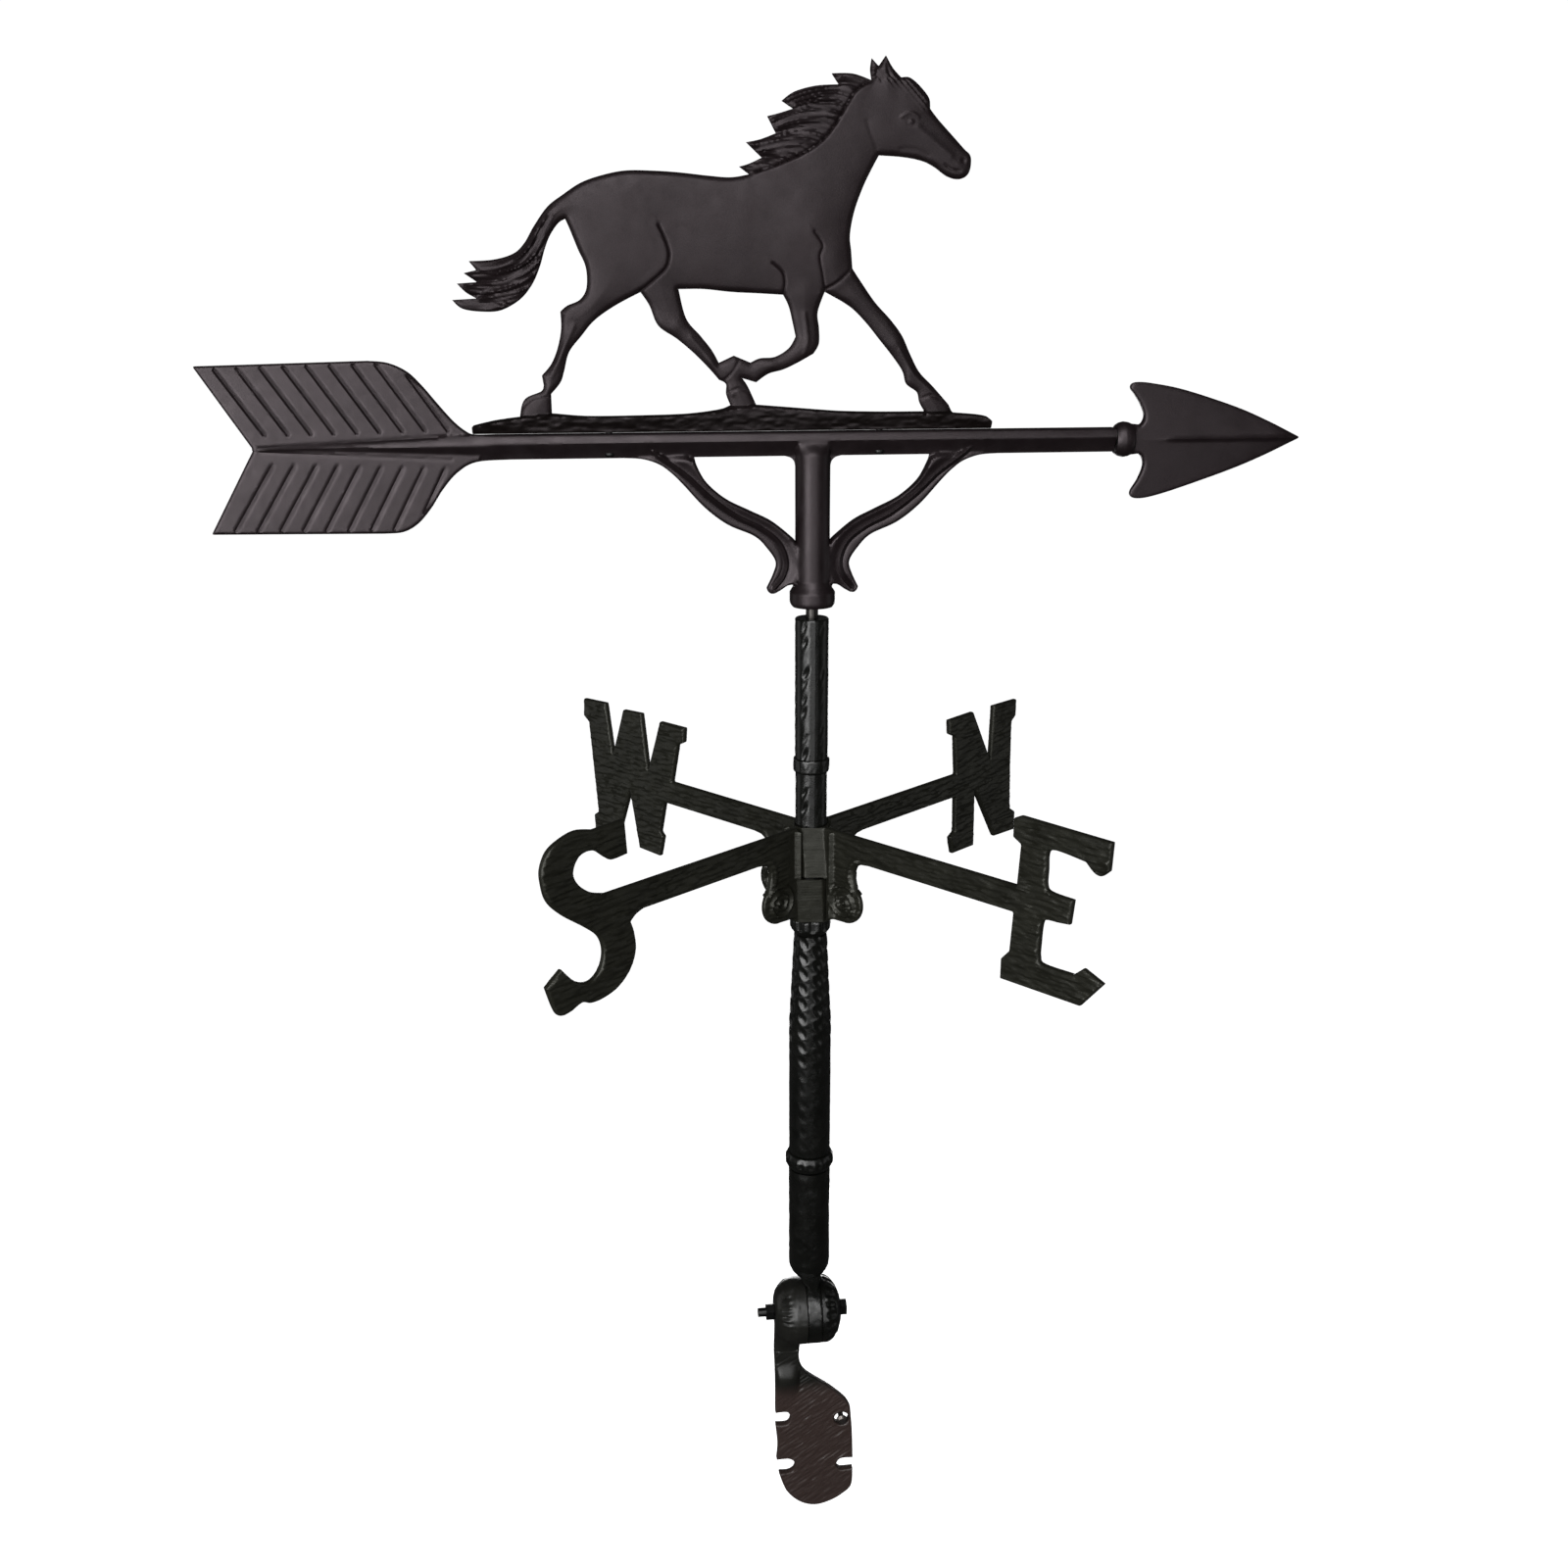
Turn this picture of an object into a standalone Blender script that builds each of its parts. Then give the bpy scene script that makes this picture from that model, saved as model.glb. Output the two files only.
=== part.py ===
"""Weather vane with a trotting horse, built in metres with +Z up.

The origin is on the back face of the roof plate.  The arrow points along +X,
the mast stands on the line x = 0, y = MAST_Y, and the roof plate faces -Y.
Heights written as *_DROP are measured downwards from the arrow's axis.
"""
import math

import bmesh
import bpy
from mathutils import Matrix, Vector, geometry

MM = 0.001
GAP = 0.0003

# Driving dimensions of the whole vane
ARROW_Z = 0.895
PLATE_THICK = 0.008
MAST_Y = -0.004

# Arrow and its pivot sleeve
SHAFT_HALF_HEIGHT = 0.009
SHAFT_HALF_DEPTH = 0.0075
SHAFT_FLAT = 0.004
SHAFT_START_X = -0.250
SHAFT_END_X = 0.230
PEG_RADIUS = 0.0055
PEG_LENGTH = 0.012
FEATHER_THICK = 0.006
BRACE_THICK = 0.009
SLEEVE_RADIUS = 0.0125
COLLAR_RADIUS = 0.0173
COLLAR_TOP_DROP = 0.106
SLEEVE_END_DROP = 0.122
SLEEVE_BORE_RADIUS = 0.0052
SLEEVE_BORE_DROP = 0.020
BUSH_RADIUS = 0.0085
BUSH_LENGTH = 0.012

# Arrow head
HEAD_THICK = 0.010
HEAD_COLLAR_RADIUS = 0.013
HEAD_COLLAR_LENGTH = 0.020

# Horse and the strip of ground it is cast on
HORSE_THICK = 0.010
GROUND_THICK = 0.017
GROUND_BOTTOM = 0.0095
SCREW_X = (-0.150, 0.050)
SCREW_RADIUS = 0.0025
SCREW_HEAD_RADIUS = 0.0042
SCREW_HEAD_HEIGHT = 0.0030
SCREW_RECESS = 0.0040
SCREW_REACH = 0.0155

# Spindle and the three posts of the mast
SPINDLE_RADIUS = 0.00475
SPINDLE_TOP_DROP = 0.0303
SPINDLE_DEPTH = 0.040
POST_RADIUS = 0.0127
UPPER_TOP_DROP = 0.131
UPPER_END_DROP = 0.242
UPPER_FERRULE_RADIUS = 0.0142
UPPER_FERRULE_END_DROP = 0.254
MIDDLE_PEG_RADIUS = 0.007
MIDDLE_PEG_LENGTH = 0.024
MIDDLE_END_DROP = 0.391
LOWER_PEG_RADIUS = 0.008
LOWER_PEG_LENGTH = 0.022
LOWER_FERRULE_RADIUS = 0.0160
LOWER_NECK_RADIUS = 0.0130
LOWER_RADIUS = 0.0167
LOWER_SWELL_DROP = 0.468
LOWER_END_DROP = 0.590
RING_RADIUS = 0.0205
RING_END_DROP = 0.606
FOOT_PEG_RADIUS = 0.010
FOOT_PEG_LENGTH = 0.036
FOOT_RADIUS = 0.0170
FOOT_END_DROP = 0.700

# Directionals: two interlocking castings
HUB_DROP = 0.3076
ARM_HALF_HEIGHT = 0.0105
ARM_THICK = 0.008
BOSS_RADIUS = 0.0160
BOSS_TOP = 0.0105
BOSS_SPLIT = -0.0310
BOSS_END = -0.0690
NORTH_ANGLE = math.radians(39.6)
SET_SCREW_RADIUS = 0.0022
SET_SCREW_LENGTH = 0.0055

# Swivel joint at the foot of the mast
BOLT_DROP = 0.750
KNUCKLE_RADIUS = 0.029
TANG_X = (-0.0039, 0.0090)
BOLT_RADIUS = 0.0039
HEX_FLATS = 0.013
BOLT_HEAD_X = (0.0272, 0.0332)
BOLT_TIP_X = -0.0450
NUT_X = (-0.0378, -0.0308)

# Roof plate
PLATE_SCREW_X = 0.030
PLATE_SCREW_DROP = 0.866
PLATE_HOLE_RADIUS = 0.0065

# Outlines in millimetres: runs of a smooth curve that meet at sharp corners.
# The horse and the arrow are (along the arrow, above its axis); each letter is
# (out from the mast, above the middle of the arm).
HORSE_RUNS = (
    ((48, 264), (53, 256), (59, 250)),
    ((59, 250), (65, 250), (72, 245), (79, 237), (80, 230)),
    ((80, 230), (86, 223), (97, 212), (105, 204), (110, 199), (110, 191), (107, 186), (101, 184),
     (93, 186), (84, 192), (75, 196), (62, 198), (45, 199)),
    ((45, 199), (40, 190), (34, 178), (28, 162), (25, 146), (26, 135), (27, 123)),
    ((27, 123), (33, 113), (42, 99), (52, 87), (61, 76), (68, 62), (76, 50), (87, 40), (100, 27)),
    ((100, 27), (103, 21)),
    ((103, 21), (125, 18), (132, 16)),
    ((132, 16), (132, 9.5)),
    ((132, 9.5), (-248, 9.5)),
    ((-248, 9.5), (-248, 15)),
    ((-248, 15), (-232, 19), (-214, 21)),
    ((-214, 21), (-212, 30), (-208, 35), (-198, 39), (-196, 43)),
    ((-196, 43), (-197, 50)),
    ((-197, 50), (-190, 58), (-185, 69), (-182, 82), (-182, 94)),
    ((-182, 94), (-177, 98), (-168, 102), (-163, 110), (-163, 124), (-168, 136), (-173, 149), (-176, 156)),
    ((-176, 156), (-181, 153), (-187, 145), (-191, 136), (-195, 124), (-201, 112), (-210, 102),
     (-223, 95), (-236, 94), (-250, 96), (-257, 102)),
    ((-257, 102), (-240, 103)),
    ((-240, 103), (-247, 107), (-253, 113)),
    ((-253, 113), (-239, 114)),
    ((-239, 114), (-248, 120)),
    ((-248, 120), (-239, 122)),
    ((-239, 122), (-244, 128)),
    ((-244, 128), (-227, 129), (-213, 133), (-205, 140), (-198, 151), (-188, 164), (-177, 172),
     (-164, 180), (-149, 185), (-133, 188), (-114, 188), (-96, 187), (-76, 185), (-60, 184), (-47, 186)),
    ((-47, 186), (-54, 191)),
    ((-54, 191), (-47, 193), (-38, 197)),
    ((-38, 197), (-49, 207)),
    ((-49, 207), (-39, 209), (-28, 213)),
    ((-28, 213), (-34, 224)),
    ((-34, 224), (-26, 226), (-16, 229)),
    ((-16, 229), (-24, 234)),
    ((-24, 234), (-15, 240), (0, 244), (16, 245)),
    ((16, 245), (11, 252)),
    ((11, 252), (26, 252), (39, 248)),
    ((39, 248), (38, 255), (39, 262)),
    ((39, 262), (44, 257)),
    ((44, 257), (48, 264)),
)
HIND_GAP_RUNS = (
    ((-125, 107), (-119, 98), (-113, 84), (-100, 75), (-88, 65), (-77, 54), (-70, 46)),
    ((-70, 46), (-65, 43), (-65, 36), (-62, 28)),
    ((-62, 28), (-72, 24.5), (-94, 22), (-128, 21), (-167, 21), (-191, 23.5)),
    ((-191, 23.5), (-191, 37)),
    ((-191, 37), (-184, 45), (-181, 53), (-177, 66), (-168, 77), (-158, 88), (-143, 98), (-125, 107)),
)
BELLY_GAP_RUNS = (
    ((-98, 109), (-80, 109), (-60, 107), (-40, 106), (-23, 105)),
    ((-23, 105), (-19, 97), (-16, 85), (-14, 76)),
    ((-14, 76), (-19, 68), (-29, 62), (-40, 61), (-47, 58)),
    ((-47, 58), (-59, 63)),
    ((-59, 63), (-70, 58)),
    ((-70, 58), (-75, 67), (-83, 77), (-93, 89), (-98, 109)),
)
FORE_GAP_RUNS = (
    ((-53, 47), (-43, 44)),
    ((-43, 44), (-34, 50), (-23, 53), (-12, 58), (-1, 64)),
    ((-1, 64), (3, 71), (3, 82), (2, 93), (7, 107)),
    ((7, 107), (25, 97), (37, 86), (48, 73), (58, 61), (65, 51), (68, 42), (76, 36), (78, 29), (82, 22)),
    ((82, 22), (50, 22), (18, 23), (-19, 26), (-43, 28)),
    ((-43, 28), (-49, 41), (-53, 47)),
)
FEATHER_RUNS = (
    ((-438, 58.5), (-318, 61)),
    ((-318, 61), (-304, 59), (-291, 53), (-281, 43), (-272, 30), (-261, 18), (-252, 11), (-246, 8.8), (-230, 8)),
    ((-230, 8), (-230, -8)),
    ((-230, -8), (-246, -10), (-261, -18), (-272, -30), (-281, -43), (-291, -53), (-304, -59), (-318, -61)),
    ((-318, -61), (-438, -58.5)),
    ((-438, -58.5), (-402, 0)),
    ((-402, 0), (-438, 58.5)),
)
HEAD_RUNS = (
    ((246, 11), (252, 20), (239, 40), (243, 43), (257, 42)),
    ((257, 42), (283, 37), (323, 24), (350, 13), (374, 0)),
    ((374, 0), (350, -13), (323, -24), (283, -37), (257, -42)),
    ((257, -42), (243, -43), (239, -40), (252, -20), (246, -11)),
    ((246, -11), (246, 11)),
)
BRACE_RUNS = (
    ((-89, -6), (-86, -16), (-79, -28), (-65, -40), (-47, -49), (-31, -57), (-16, -69), (-2, -82)),
    ((-2, -82), (-2, -103)),
    ((-2, -103), (-17, -104), (-24, -109), (-31, -111)),
    ((-31, -111), (-35, -107)),
    ((-35, -107), (-30, -97), (-28, -88), (-34, -78), (-44, -68), (-64, -59), (-81, -46), (-98, -27),
     (-112, -11), (-124, -6)),
    ((-124, -6), (-89, -6)),
)
LETTER_N_RUNS = (
    ((186, 10.5), (183, 45)),
    ((183, 45), (175, 49)),
    ((175, 49), (174, 62)),
    ((174, 62), (208, 63)),
    ((208, 63), (236, 13)),
    ((236, 13), (238, 63)),
    ((238, 63), (272, 63)),
    ((272, 63), (272, 48)),
    ((272, 48), (266, 43)),
    ((266, 43), (267, 0), (269, -40)),
    ((269, -40), (277, -45)),
    ((277, -45), (277, -63)),
    ((277, -63), (246, -62)),
    ((246, -62), (214, -10)),
    ((214, -10), (215, -63)),
    ((215, -63), (184, -63)),
    ((184, -63), (180, -47)),
    ((180, -47), (187, -43)),
    ((187, -43), (186, -10.5)),
)
LETTER_E_RUNS = (
    ((201, 10.5), (203, 42)),
    ((203, 42), (196, 46)),
    ((196, 46), (196, 60)),
    ((196, 60), (202, 63)),
    ((202, 63), (277, 61)),
    ((277, 61), (276, 40)),
    ((276, 40), (270, 35), (264, 36), (257, 42)),
    ((257, 42), (240, 44), (230, 44), (226, 40), (226, 28), (226, 17), (230, 13), (249, 12)),
    ((249, 12), (247, -7)),
    ((247, -7), (238, -8), (227, -9), (224, -14), (223, -28), (223, -39), (227, -43), (252, -43)),
    ((252, -43), (260, -36)),
    ((260, -36), (277, -43)),
    ((277, -43), (259, -65)),
    ((259, -65), (190, -65)),
    ((190, -65), (190, -49)),
    ((190, -49), (197, -41)),
    ((197, -41), (199, -10.5)),
)
LETTER_S_RUNS = (
    ((214, 10.5), (227, 15), (238, 24), (242, 34), (236, 44), (224, 45), (213, 37), (207, 34), (193, 35)),
    ((193, 35), (195, 61)),
    ((195, 61), (223, 60)),
    ((223, 60), (238, 63), (252, 60), (263, 54), (269, 43), (269, 32), (265, 18), (253, 5), (233, -10),
     (222, -20), (218, -31), (220, -42), (226, -49), (234, -51), (245, -46), (256, -34)),
    ((256, -34), (270, -44)),
    ((270, -44), (263, -64), (257, -69), (248, -68)),
    ((248, -68), (239, -65), (231, -68), (220, -68), (206, -64), (194, -54), (188, -40), (189, -26), (192, -17)),
    ((192, -17), (187, -13), (180, -10.5)),
)
LETTER_W_RUNS = (
    ((162, 10.5), (154, 45)),
    ((154, 45), (146, 49)),
    ((146, 49), (145, 62)),
    ((145, 62), (176, 62)),
    ((176, 62), (193, 15)),
    ((193, 15), (200, 65)),
    ((200, 65), (224, 64)),
    ((224, 64), (240, 20)),
    ((240, 20), (248, 66)),
    ((248, 66), (278, 65)),
    ((278, 65), (279, 49)),
    ((279, 49), (272, 44)),
    ((272, 44), (266, -12), (263, -39)),
    ((263, -39), (269, -43)),
    ((269, -43), (268, -62)),
    ((268, -62), (238, -62)),
    ((238, -62), (218, -10)),
    ((218, -10), (207, -61)),
    ((207, -61), (180, -62)),
    ((180, -62), (175, -43)),
    ((175, -43), (179, -39)),
    ((179, -39), (172, -10.5)),
)
PLATE_RUNS = (
    ((-31, -770), (-9, -770)),
    ((-9, -770), (-9, -795)),
    ((-9, -795), (-7, -807), (-1, -816), (19, -832), (33, -846), (38, -855)),
    ((38, -855), (40, -880), (41, -910)),
    ((41, -910), (30, -910), (26, -915), (26, -918), (30, -922), (41, -922)),
    ((41, -922), (40, -940), (32, -949), (20, -956), (6, -959), (-8, -954), (-20, -941), (-27, -921)),
    ((-27, -921), (-18, -921), (-13, -917), (-13, -910), (-18, -906), (-29, -906)),
    ((-29, -906), (-28, -890), (-30, -868)),
    ((-30, -868), (-20, -868), (-17, -864), (-17, -859), (-20, -855), (-30, -855)),
    ((-30, -855), (-30, -820), (-31, -770)),
)
LETTERS = {"north": LETTER_N_RUNS, "east": LETTER_E_RUNS, "south": LETTER_S_RUNS, "west": LETTER_W_RUNS}


def clear_scene():
    for item in list(bpy.data.objects):
        bpy.data.objects.remove(item, do_unlink=True)


def coating(name, colour, roughness, metallic=0.0):
    """A plain Principled material."""
    material = bpy.data.materials.new(name)
    material.use_nodes = True
    shader = material.node_tree.nodes["Principled BSDF"]
    shader.inputs["Base Color"].default_value = (*colour, 1.0)
    shader.inputs["Roughness"].default_value = roughness
    shader.inputs["Metallic"].default_value = metallic
    return material


def curve_point(before, start, end, after, share):
    """Catmull-Rom curve between start and end."""
    two = share * share
    three = two * share
    return tuple(0.5 * (2.0 * s + (e - b) * share + (2.0 * b - 5.0 * s + 4.0 * e - a) * two
                        + (3.0 * s - b - 3.0 * e + a) * three)
                 for b, s, e, a in zip(before, start, end, after))


def smooth_run(points, steps):
    """Points along one run, without its last point."""
    if len(points) == 2:
        return [points[0]]
    result = []
    last = len(points) - 1
    for index in range(last):
        before = points[max(index - 1, 0)]
        after = points[min(index + 2, last)]
        for step in range(steps):
            result.append(curve_point(before, points[index], points[index + 1], after, step / steps))
    return result


def outline(runs, steps=2, close=True):
    """Join the runs into one loop of points in metres."""
    points = []
    for run in runs:
        points.extend(smooth_run(run, steps))
    if not close:
        points.append(runs[-1][-1])
    return [(x * MM, z * MM) for x, z in points]


def inside(point, loops):
    """Even-odd test of a point against several closed loops."""
    x, z = point
    odd = False
    for loop in loops:
        for (x0, z0), (x1, z1) in zip(loop, loop[1:] + loop[:1]):
            if (z0 > z) != (z1 > z) and x < (x1 - x0) * (z - z0) / (z1 - z0) + x0:
                odd = not odd
    return odd


def make_object(name, vertices, faces, material=None):
    mesh = bpy.data.meshes.new(name)
    mesh.from_pydata(vertices, [], faces)
    mesh.validate()
    item = bpy.data.objects.new(name, mesh)
    bpy.context.scene.collection.objects.link(item)
    if material:
        mesh.materials.append(material)
    return item


def slab(name, loops, thick, material=None, middle=0.0):
    """Extrude flat loops along Y; the first loop is outside, the rest are holes."""
    points = []
    edges = []
    for loop in loops:
        first = len(points)
        points.extend(Vector(p) for p in loop)
        edges.extend((first + i, first + (i + 1) % len(loop)) for i in range(len(loop)))
    flat, _, triangles, _, _, _ = geometry.delaunay_2d_cdt(points, edges, [], 0, 1e-7)
    keep = []
    for tri in triangles:
        centre = sum((flat[i] for i in tri), Vector((0.0, 0.0))) / 3.0
        if inside((centre.x, centre.y), loops):
            keep.append(tuple(tri))
    count = len(flat)
    vertices = [(p.x, middle - thick / 2.0, p.y) for p in flat]
    vertices += [(p.x, middle + thick / 2.0, p.y) for p in flat]
    sides = {}
    for tri in keep:
        for a, b in zip(tri, tri[1:] + tri[:1]):
            sides[(a, b)] = True
    faces = [tri for tri in keep]
    faces += [tuple(i + count for i in reversed(tri)) for tri in keep]
    for a, b in sides:
        if (b, a) not in sides:
            faces.append((b, a, a + count, b + count))
    return make_object(name, vertices, faces, material)


def turned(name, profile, segments=40, material=None, along="Z", place=(0.0, 0.0, 0.0)):
    """Turn a closed (radius, height) profile about Z, or about X when asked."""
    vertices = []
    rings = []
    for radius, height in profile:
        if radius < 1e-9:
            rings.append([len(vertices)])
            vertices.append((0.0, 0.0, height))
            continue
        rings.append(list(range(len(vertices), len(vertices) + segments)))
        for step in range(segments):
            angle = 2.0 * math.pi * step / segments
            vertices.append((radius * math.cos(angle), radius * math.sin(angle), height))
    faces = []
    for lower, upper in zip(rings, rings[1:] + rings[:1]):
        for step in range(segments):
            following = (step + 1) % segments
            if len(lower) == 1 and len(upper) == 1:
                break
            if len(lower) == 1:
                faces.append((lower[0], upper[following], upper[step]))
            elif len(upper) == 1:
                faces.append((lower[step], lower[following], upper[0]))
            else:
                faces.append((lower[step], lower[following], upper[following], upper[step]))
    if along == "X":
        vertices = [(z, x, y) for x, y, z in vertices]
    vertices = [tuple(a + b for a, b in zip(v, place)) for v in vertices]
    return make_object(name, vertices, faces, material)


def rod(name, radius, start, end, segments=32, material=None, along="Z", place=(0.0, 0.0, 0.0)):
    profile = ((0.0, start), (radius, start), (radius, end), (0.0, end))
    return turned(name, profile, segments, material, along, place)


def tube(name, outer, inner, start, end, segments=40, material=None, along="Z", place=(0.0, 0.0, 0.0), edge=0.0):
    profile = ((inner, start), (outer - edge, start), (outer, start + edge), (outer, end - edge),
               (outer - edge, end), (inner, end))
    return turned(name, profile, segments, material, along, place)


def settle(item):
    """Replace the object's mesh with the result of its modifiers."""
    bpy.context.view_layer.update()
    graph = bpy.context.evaluated_depsgraph_get()
    mesh = bpy.data.meshes.new_from_object(item.evaluated_get(graph))
    item.modifiers.clear()
    item.data = mesh
    tidy_mesh(mesh)


def tidy_mesh(mesh):
    """Weld stray points and leave only flat triangles."""
    work = bmesh.new()
    work.from_mesh(mesh)
    bmesh.ops.remove_doubles(work, verts=work.verts, dist=2e-6)
    bmesh.ops.dissolve_degenerate(work, edges=work.edges, dist=2e-6)
    bmesh.ops.triangulate(work, faces=work.faces)
    work.to_mesh(mesh)
    work.free()


def combine(item, tool, operation):
    modifier = item.modifiers.new(operation.lower(), "BOOLEAN")
    modifier.solver = "EXACT"
    modifier.operation = operation
    modifier.object = tool
    settle(item)
    bpy.data.objects.remove(tool, do_unlink=True)
    return item


def add(item, tool):
    return combine(item, tool, "UNION")


def cut(item, tool):
    return combine(item, tool, "DIFFERENCE")


def move_origin(item, point):
    """Put the object's origin at a point without moving its surface."""
    shift = Vector(point)
    for vertex in item.data.vertices:
        vertex.co -= shift
    item.location = shift


def mast_point(drop):
    return (0.0, MAST_Y, ARROW_Z - drop)


def lifted(item, place):
    """Shift the surface of an object that was drawn about the arrow's axis."""
    for vertex in item.data.vertices:
        vertex.co += Vector(place)
    return item


def shade(item, material):
    item.data.materials.clear()
    item.data.materials.append(material)
    return item


def horse(material):
    """Horse silhouette cast together with its strip of ground."""
    loops = [outline(HORSE_RUNS), outline(HIND_GAP_RUNS), outline(BELLY_GAP_RUNS), outline(FORE_GAP_RUNS)]
    body = slab("horse_ornament", loops, HORSE_THICK)
    ground = [(-0.248, GROUND_BOTTOM), (0.132, GROUND_BOTTOM), (0.132, 0.016), (0.100, 0.0195), (0.018, 0.0215),
              (-0.019, 0.0235), (-0.058, 0.0245), (-0.094, 0.0205), (-0.167, 0.0195), (-0.216, 0.0195),
              (-0.248, 0.0145)]
    add(body, slab("ground", [ground], GROUND_THICK))
    for x in SCREW_X:
        hole = rod("hole", SCREW_RADIUS + GAP, 0.0, SCREW_REACH + GAP, 16, place=(x, 0.0, 0.0))
        cut(body, hole)
    lifted(body, (0.0, MAST_Y, ARROW_Z))
    move_origin(body, (0.0, MAST_Y, ARROW_Z + GROUND_BOTTOM))
    return shade(body, material)


def ornament_screw(name, x, material):
    """Screw let into the underside of the arrow, holding the horse."""
    under = -SHAFT_HALF_HEIGHT + SCREW_RECESS
    profile = ((0.0, under - SCREW_HEAD_HEIGHT), (SCREW_HEAD_RADIUS * 0.8, under - SCREW_HEAD_HEIGHT),
               (SCREW_HEAD_RADIUS, under - SCREW_HEAD_HEIGHT * 0.6), (SCREW_HEAD_RADIUS, under - GAP),
               (SCREW_RADIUS, under - GAP), (SCREW_RADIUS, SCREW_REACH), (0.0, SCREW_REACH))
    item = turned(name, profile, 20, material, place=(x, MAST_Y, ARROW_Z))
    move_origin(item, (x, MAST_Y, ARROW_Z))
    return item


def shaft_bar():
    """Six-sided bar with a ridge along each side."""
    section = ((-SHAFT_FLAT, -SHAFT_HALF_HEIGHT), (SHAFT_FLAT, -SHAFT_HALF_HEIGHT), (SHAFT_HALF_DEPTH, 0.0),
               (SHAFT_FLAT, SHAFT_HALF_HEIGHT), (-SHAFT_FLAT, SHAFT_HALF_HEIGHT), (-SHAFT_HALF_DEPTH, 0.0))
    vertices = [(x, y, z) for x in (SHAFT_START_X, SHAFT_END_X) for y, z in section]
    faces = [tuple(reversed(range(6))), tuple(range(6, 12))]
    faces += [(i, (i + 1) % 6, (i + 1) % 6 + 6, i + 6) for i in range(6)]
    return make_object("shaft", vertices, faces)


def tail_rib():
    """Rib that swells along the middle of the feathers into the shaft."""
    stations = ((-0.398, 0.0020, 0.0038), (-0.300, 0.0050, 0.0058), (-0.249, 0.0085, 0.0072))
    vertices = []
    for x, tall, deep in stations:
        vertices += [(x, -deep, 0.0), (x, 0.0, -tall), (x, deep, 0.0), (x, 0.0, tall)]
    faces = [(3, 2, 1, 0), (8, 9, 10, 11)]
    for start in (0, 4):
        faces += [(start + i, start + (i + 1) % 4, start + 4 + (i + 1) % 4, start + 4 + i) for i in range(4)]
    return make_object("rib", vertices, faces)


def arrow_body(material):
    """Feathers, shaft, braces and pivot sleeve in one casting."""
    body = shaft_bar()
    body.name = "arrow_body"
    add(body, slab("feathers", [outline(FEATHER_RUNS)], FEATHER_THICK))
    add(body, tail_rib())
    brace = outline(BRACE_RUNS)
    add(body, slab("brace", [brace], BRACE_THICK))
    add(body, slab("brace", [[(-x, z) for x, z in reversed(brace)]], BRACE_THICK))
    add(body, rod("sleeve", SLEEVE_RADIUS, -COLLAR_TOP_DROP - 0.002, -0.006, 40))
    flare = ((0.0, -SLEEVE_END_DROP), (COLLAR_RADIUS - 0.002, -SLEEVE_END_DROP),
             (COLLAR_RADIUS, -SLEEVE_END_DROP + 0.003), (COLLAR_RADIUS, -SLEEVE_END_DROP + 0.007),
             (COLLAR_RADIUS - 0.003, -COLLAR_TOP_DROP), (0.0, -COLLAR_TOP_DROP))
    add(body, turned("collar", flare, 40))
    cut(body, rod("bore", SLEEVE_BORE_RADIUS, -0.200, -SLEEVE_BORE_DROP, 32))
    cut(body, rod("bush_seat", BUSH_RADIUS + GAP, -0.200, -SLEEVE_END_DROP + BUSH_LENGTH + GAP, 32))
    add(body, rod("peg", PEG_RADIUS, SHAFT_END_X - 0.005, SHAFT_END_X + PEG_LENGTH, 24, along="X"))
    for x in SCREW_X:
        cut(body, rod("hole", SCREW_RADIUS + GAP, -0.030, 0.030, 20, place=(x, 0.0, 0.0)))
        cut(body, rod("recess", SCREW_HEAD_RADIUS + GAP, -0.030, -SHAFT_HALF_HEIGHT + SCREW_RECESS, 20,
                      place=(x, 0.0, 0.0)))
    lifted(body, (0.0, MAST_Y, ARROW_Z))
    move_origin(body, mast_point(0.0))
    return shade(body, material)


def arrow_head(material):
    """Barbed head with a ridge, cast with the collar that fits over the shaft's peg."""
    base = outline(HEAD_RUNS)
    body = slab("arrow_head", [base], HEAD_THICK * 0.7)
    start = SHAFT_END_X + GAP
    collar = ((0.0, start), (HEAD_COLLAR_RADIUS - 0.002, start), (HEAD_COLLAR_RADIUS, start + 0.002),
              (HEAD_COLLAR_RADIUS, start + HEAD_COLLAR_LENGTH - 0.005),
              (HEAD_COLLAR_RADIUS - 0.004, start + HEAD_COLLAR_LENGTH), (0.0, start + HEAD_COLLAR_LENGTH))
    add(body, turned("collar", collar, 36, along="X"))
    cut(body, rod("socket", PEG_RADIUS + GAP, SHAFT_END_X - 0.005, SHAFT_END_X + PEG_LENGTH + GAP, 24, along="X"))
    lifted(body, (0.0, MAST_Y, ARROW_Z))
    move_origin(body, (SHAFT_END_X, MAST_Y, ARROW_Z))
    return shade(body, material)


def sleeve_bush(material):
    start = -SLEEVE_END_DROP + GAP
    end = -SLEEVE_END_DROP + BUSH_LENGTH
    item = tube("sleeve_bush", BUSH_RADIUS, SPINDLE_RADIUS + GAP, start, end, 32, material,
                place=(0.0, MAST_Y, ARROW_Z))
    move_origin(item, mast_point(SLEEVE_END_DROP))
    return item


def pivot_ball(material):
    """Ball between the top of the spindle and the blind end of the sleeve."""
    radius = 0.0048
    middle = -SLEEVE_BORE_DROP - radius - GAP
    profile = [(radius * math.sin(a), middle - radius * math.cos(a))
               for a in (math.pi * step / 10 for step in range(11))]
    profile[0] = (0.0, middle - radius)
    profile[-1] = (0.0, middle + radius)
    item = turned("pivot_ball", profile, 20, material, place=(0.0, MAST_Y, ARROW_Z))
    move_origin(item, mast_point(-middle))
    return item


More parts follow.
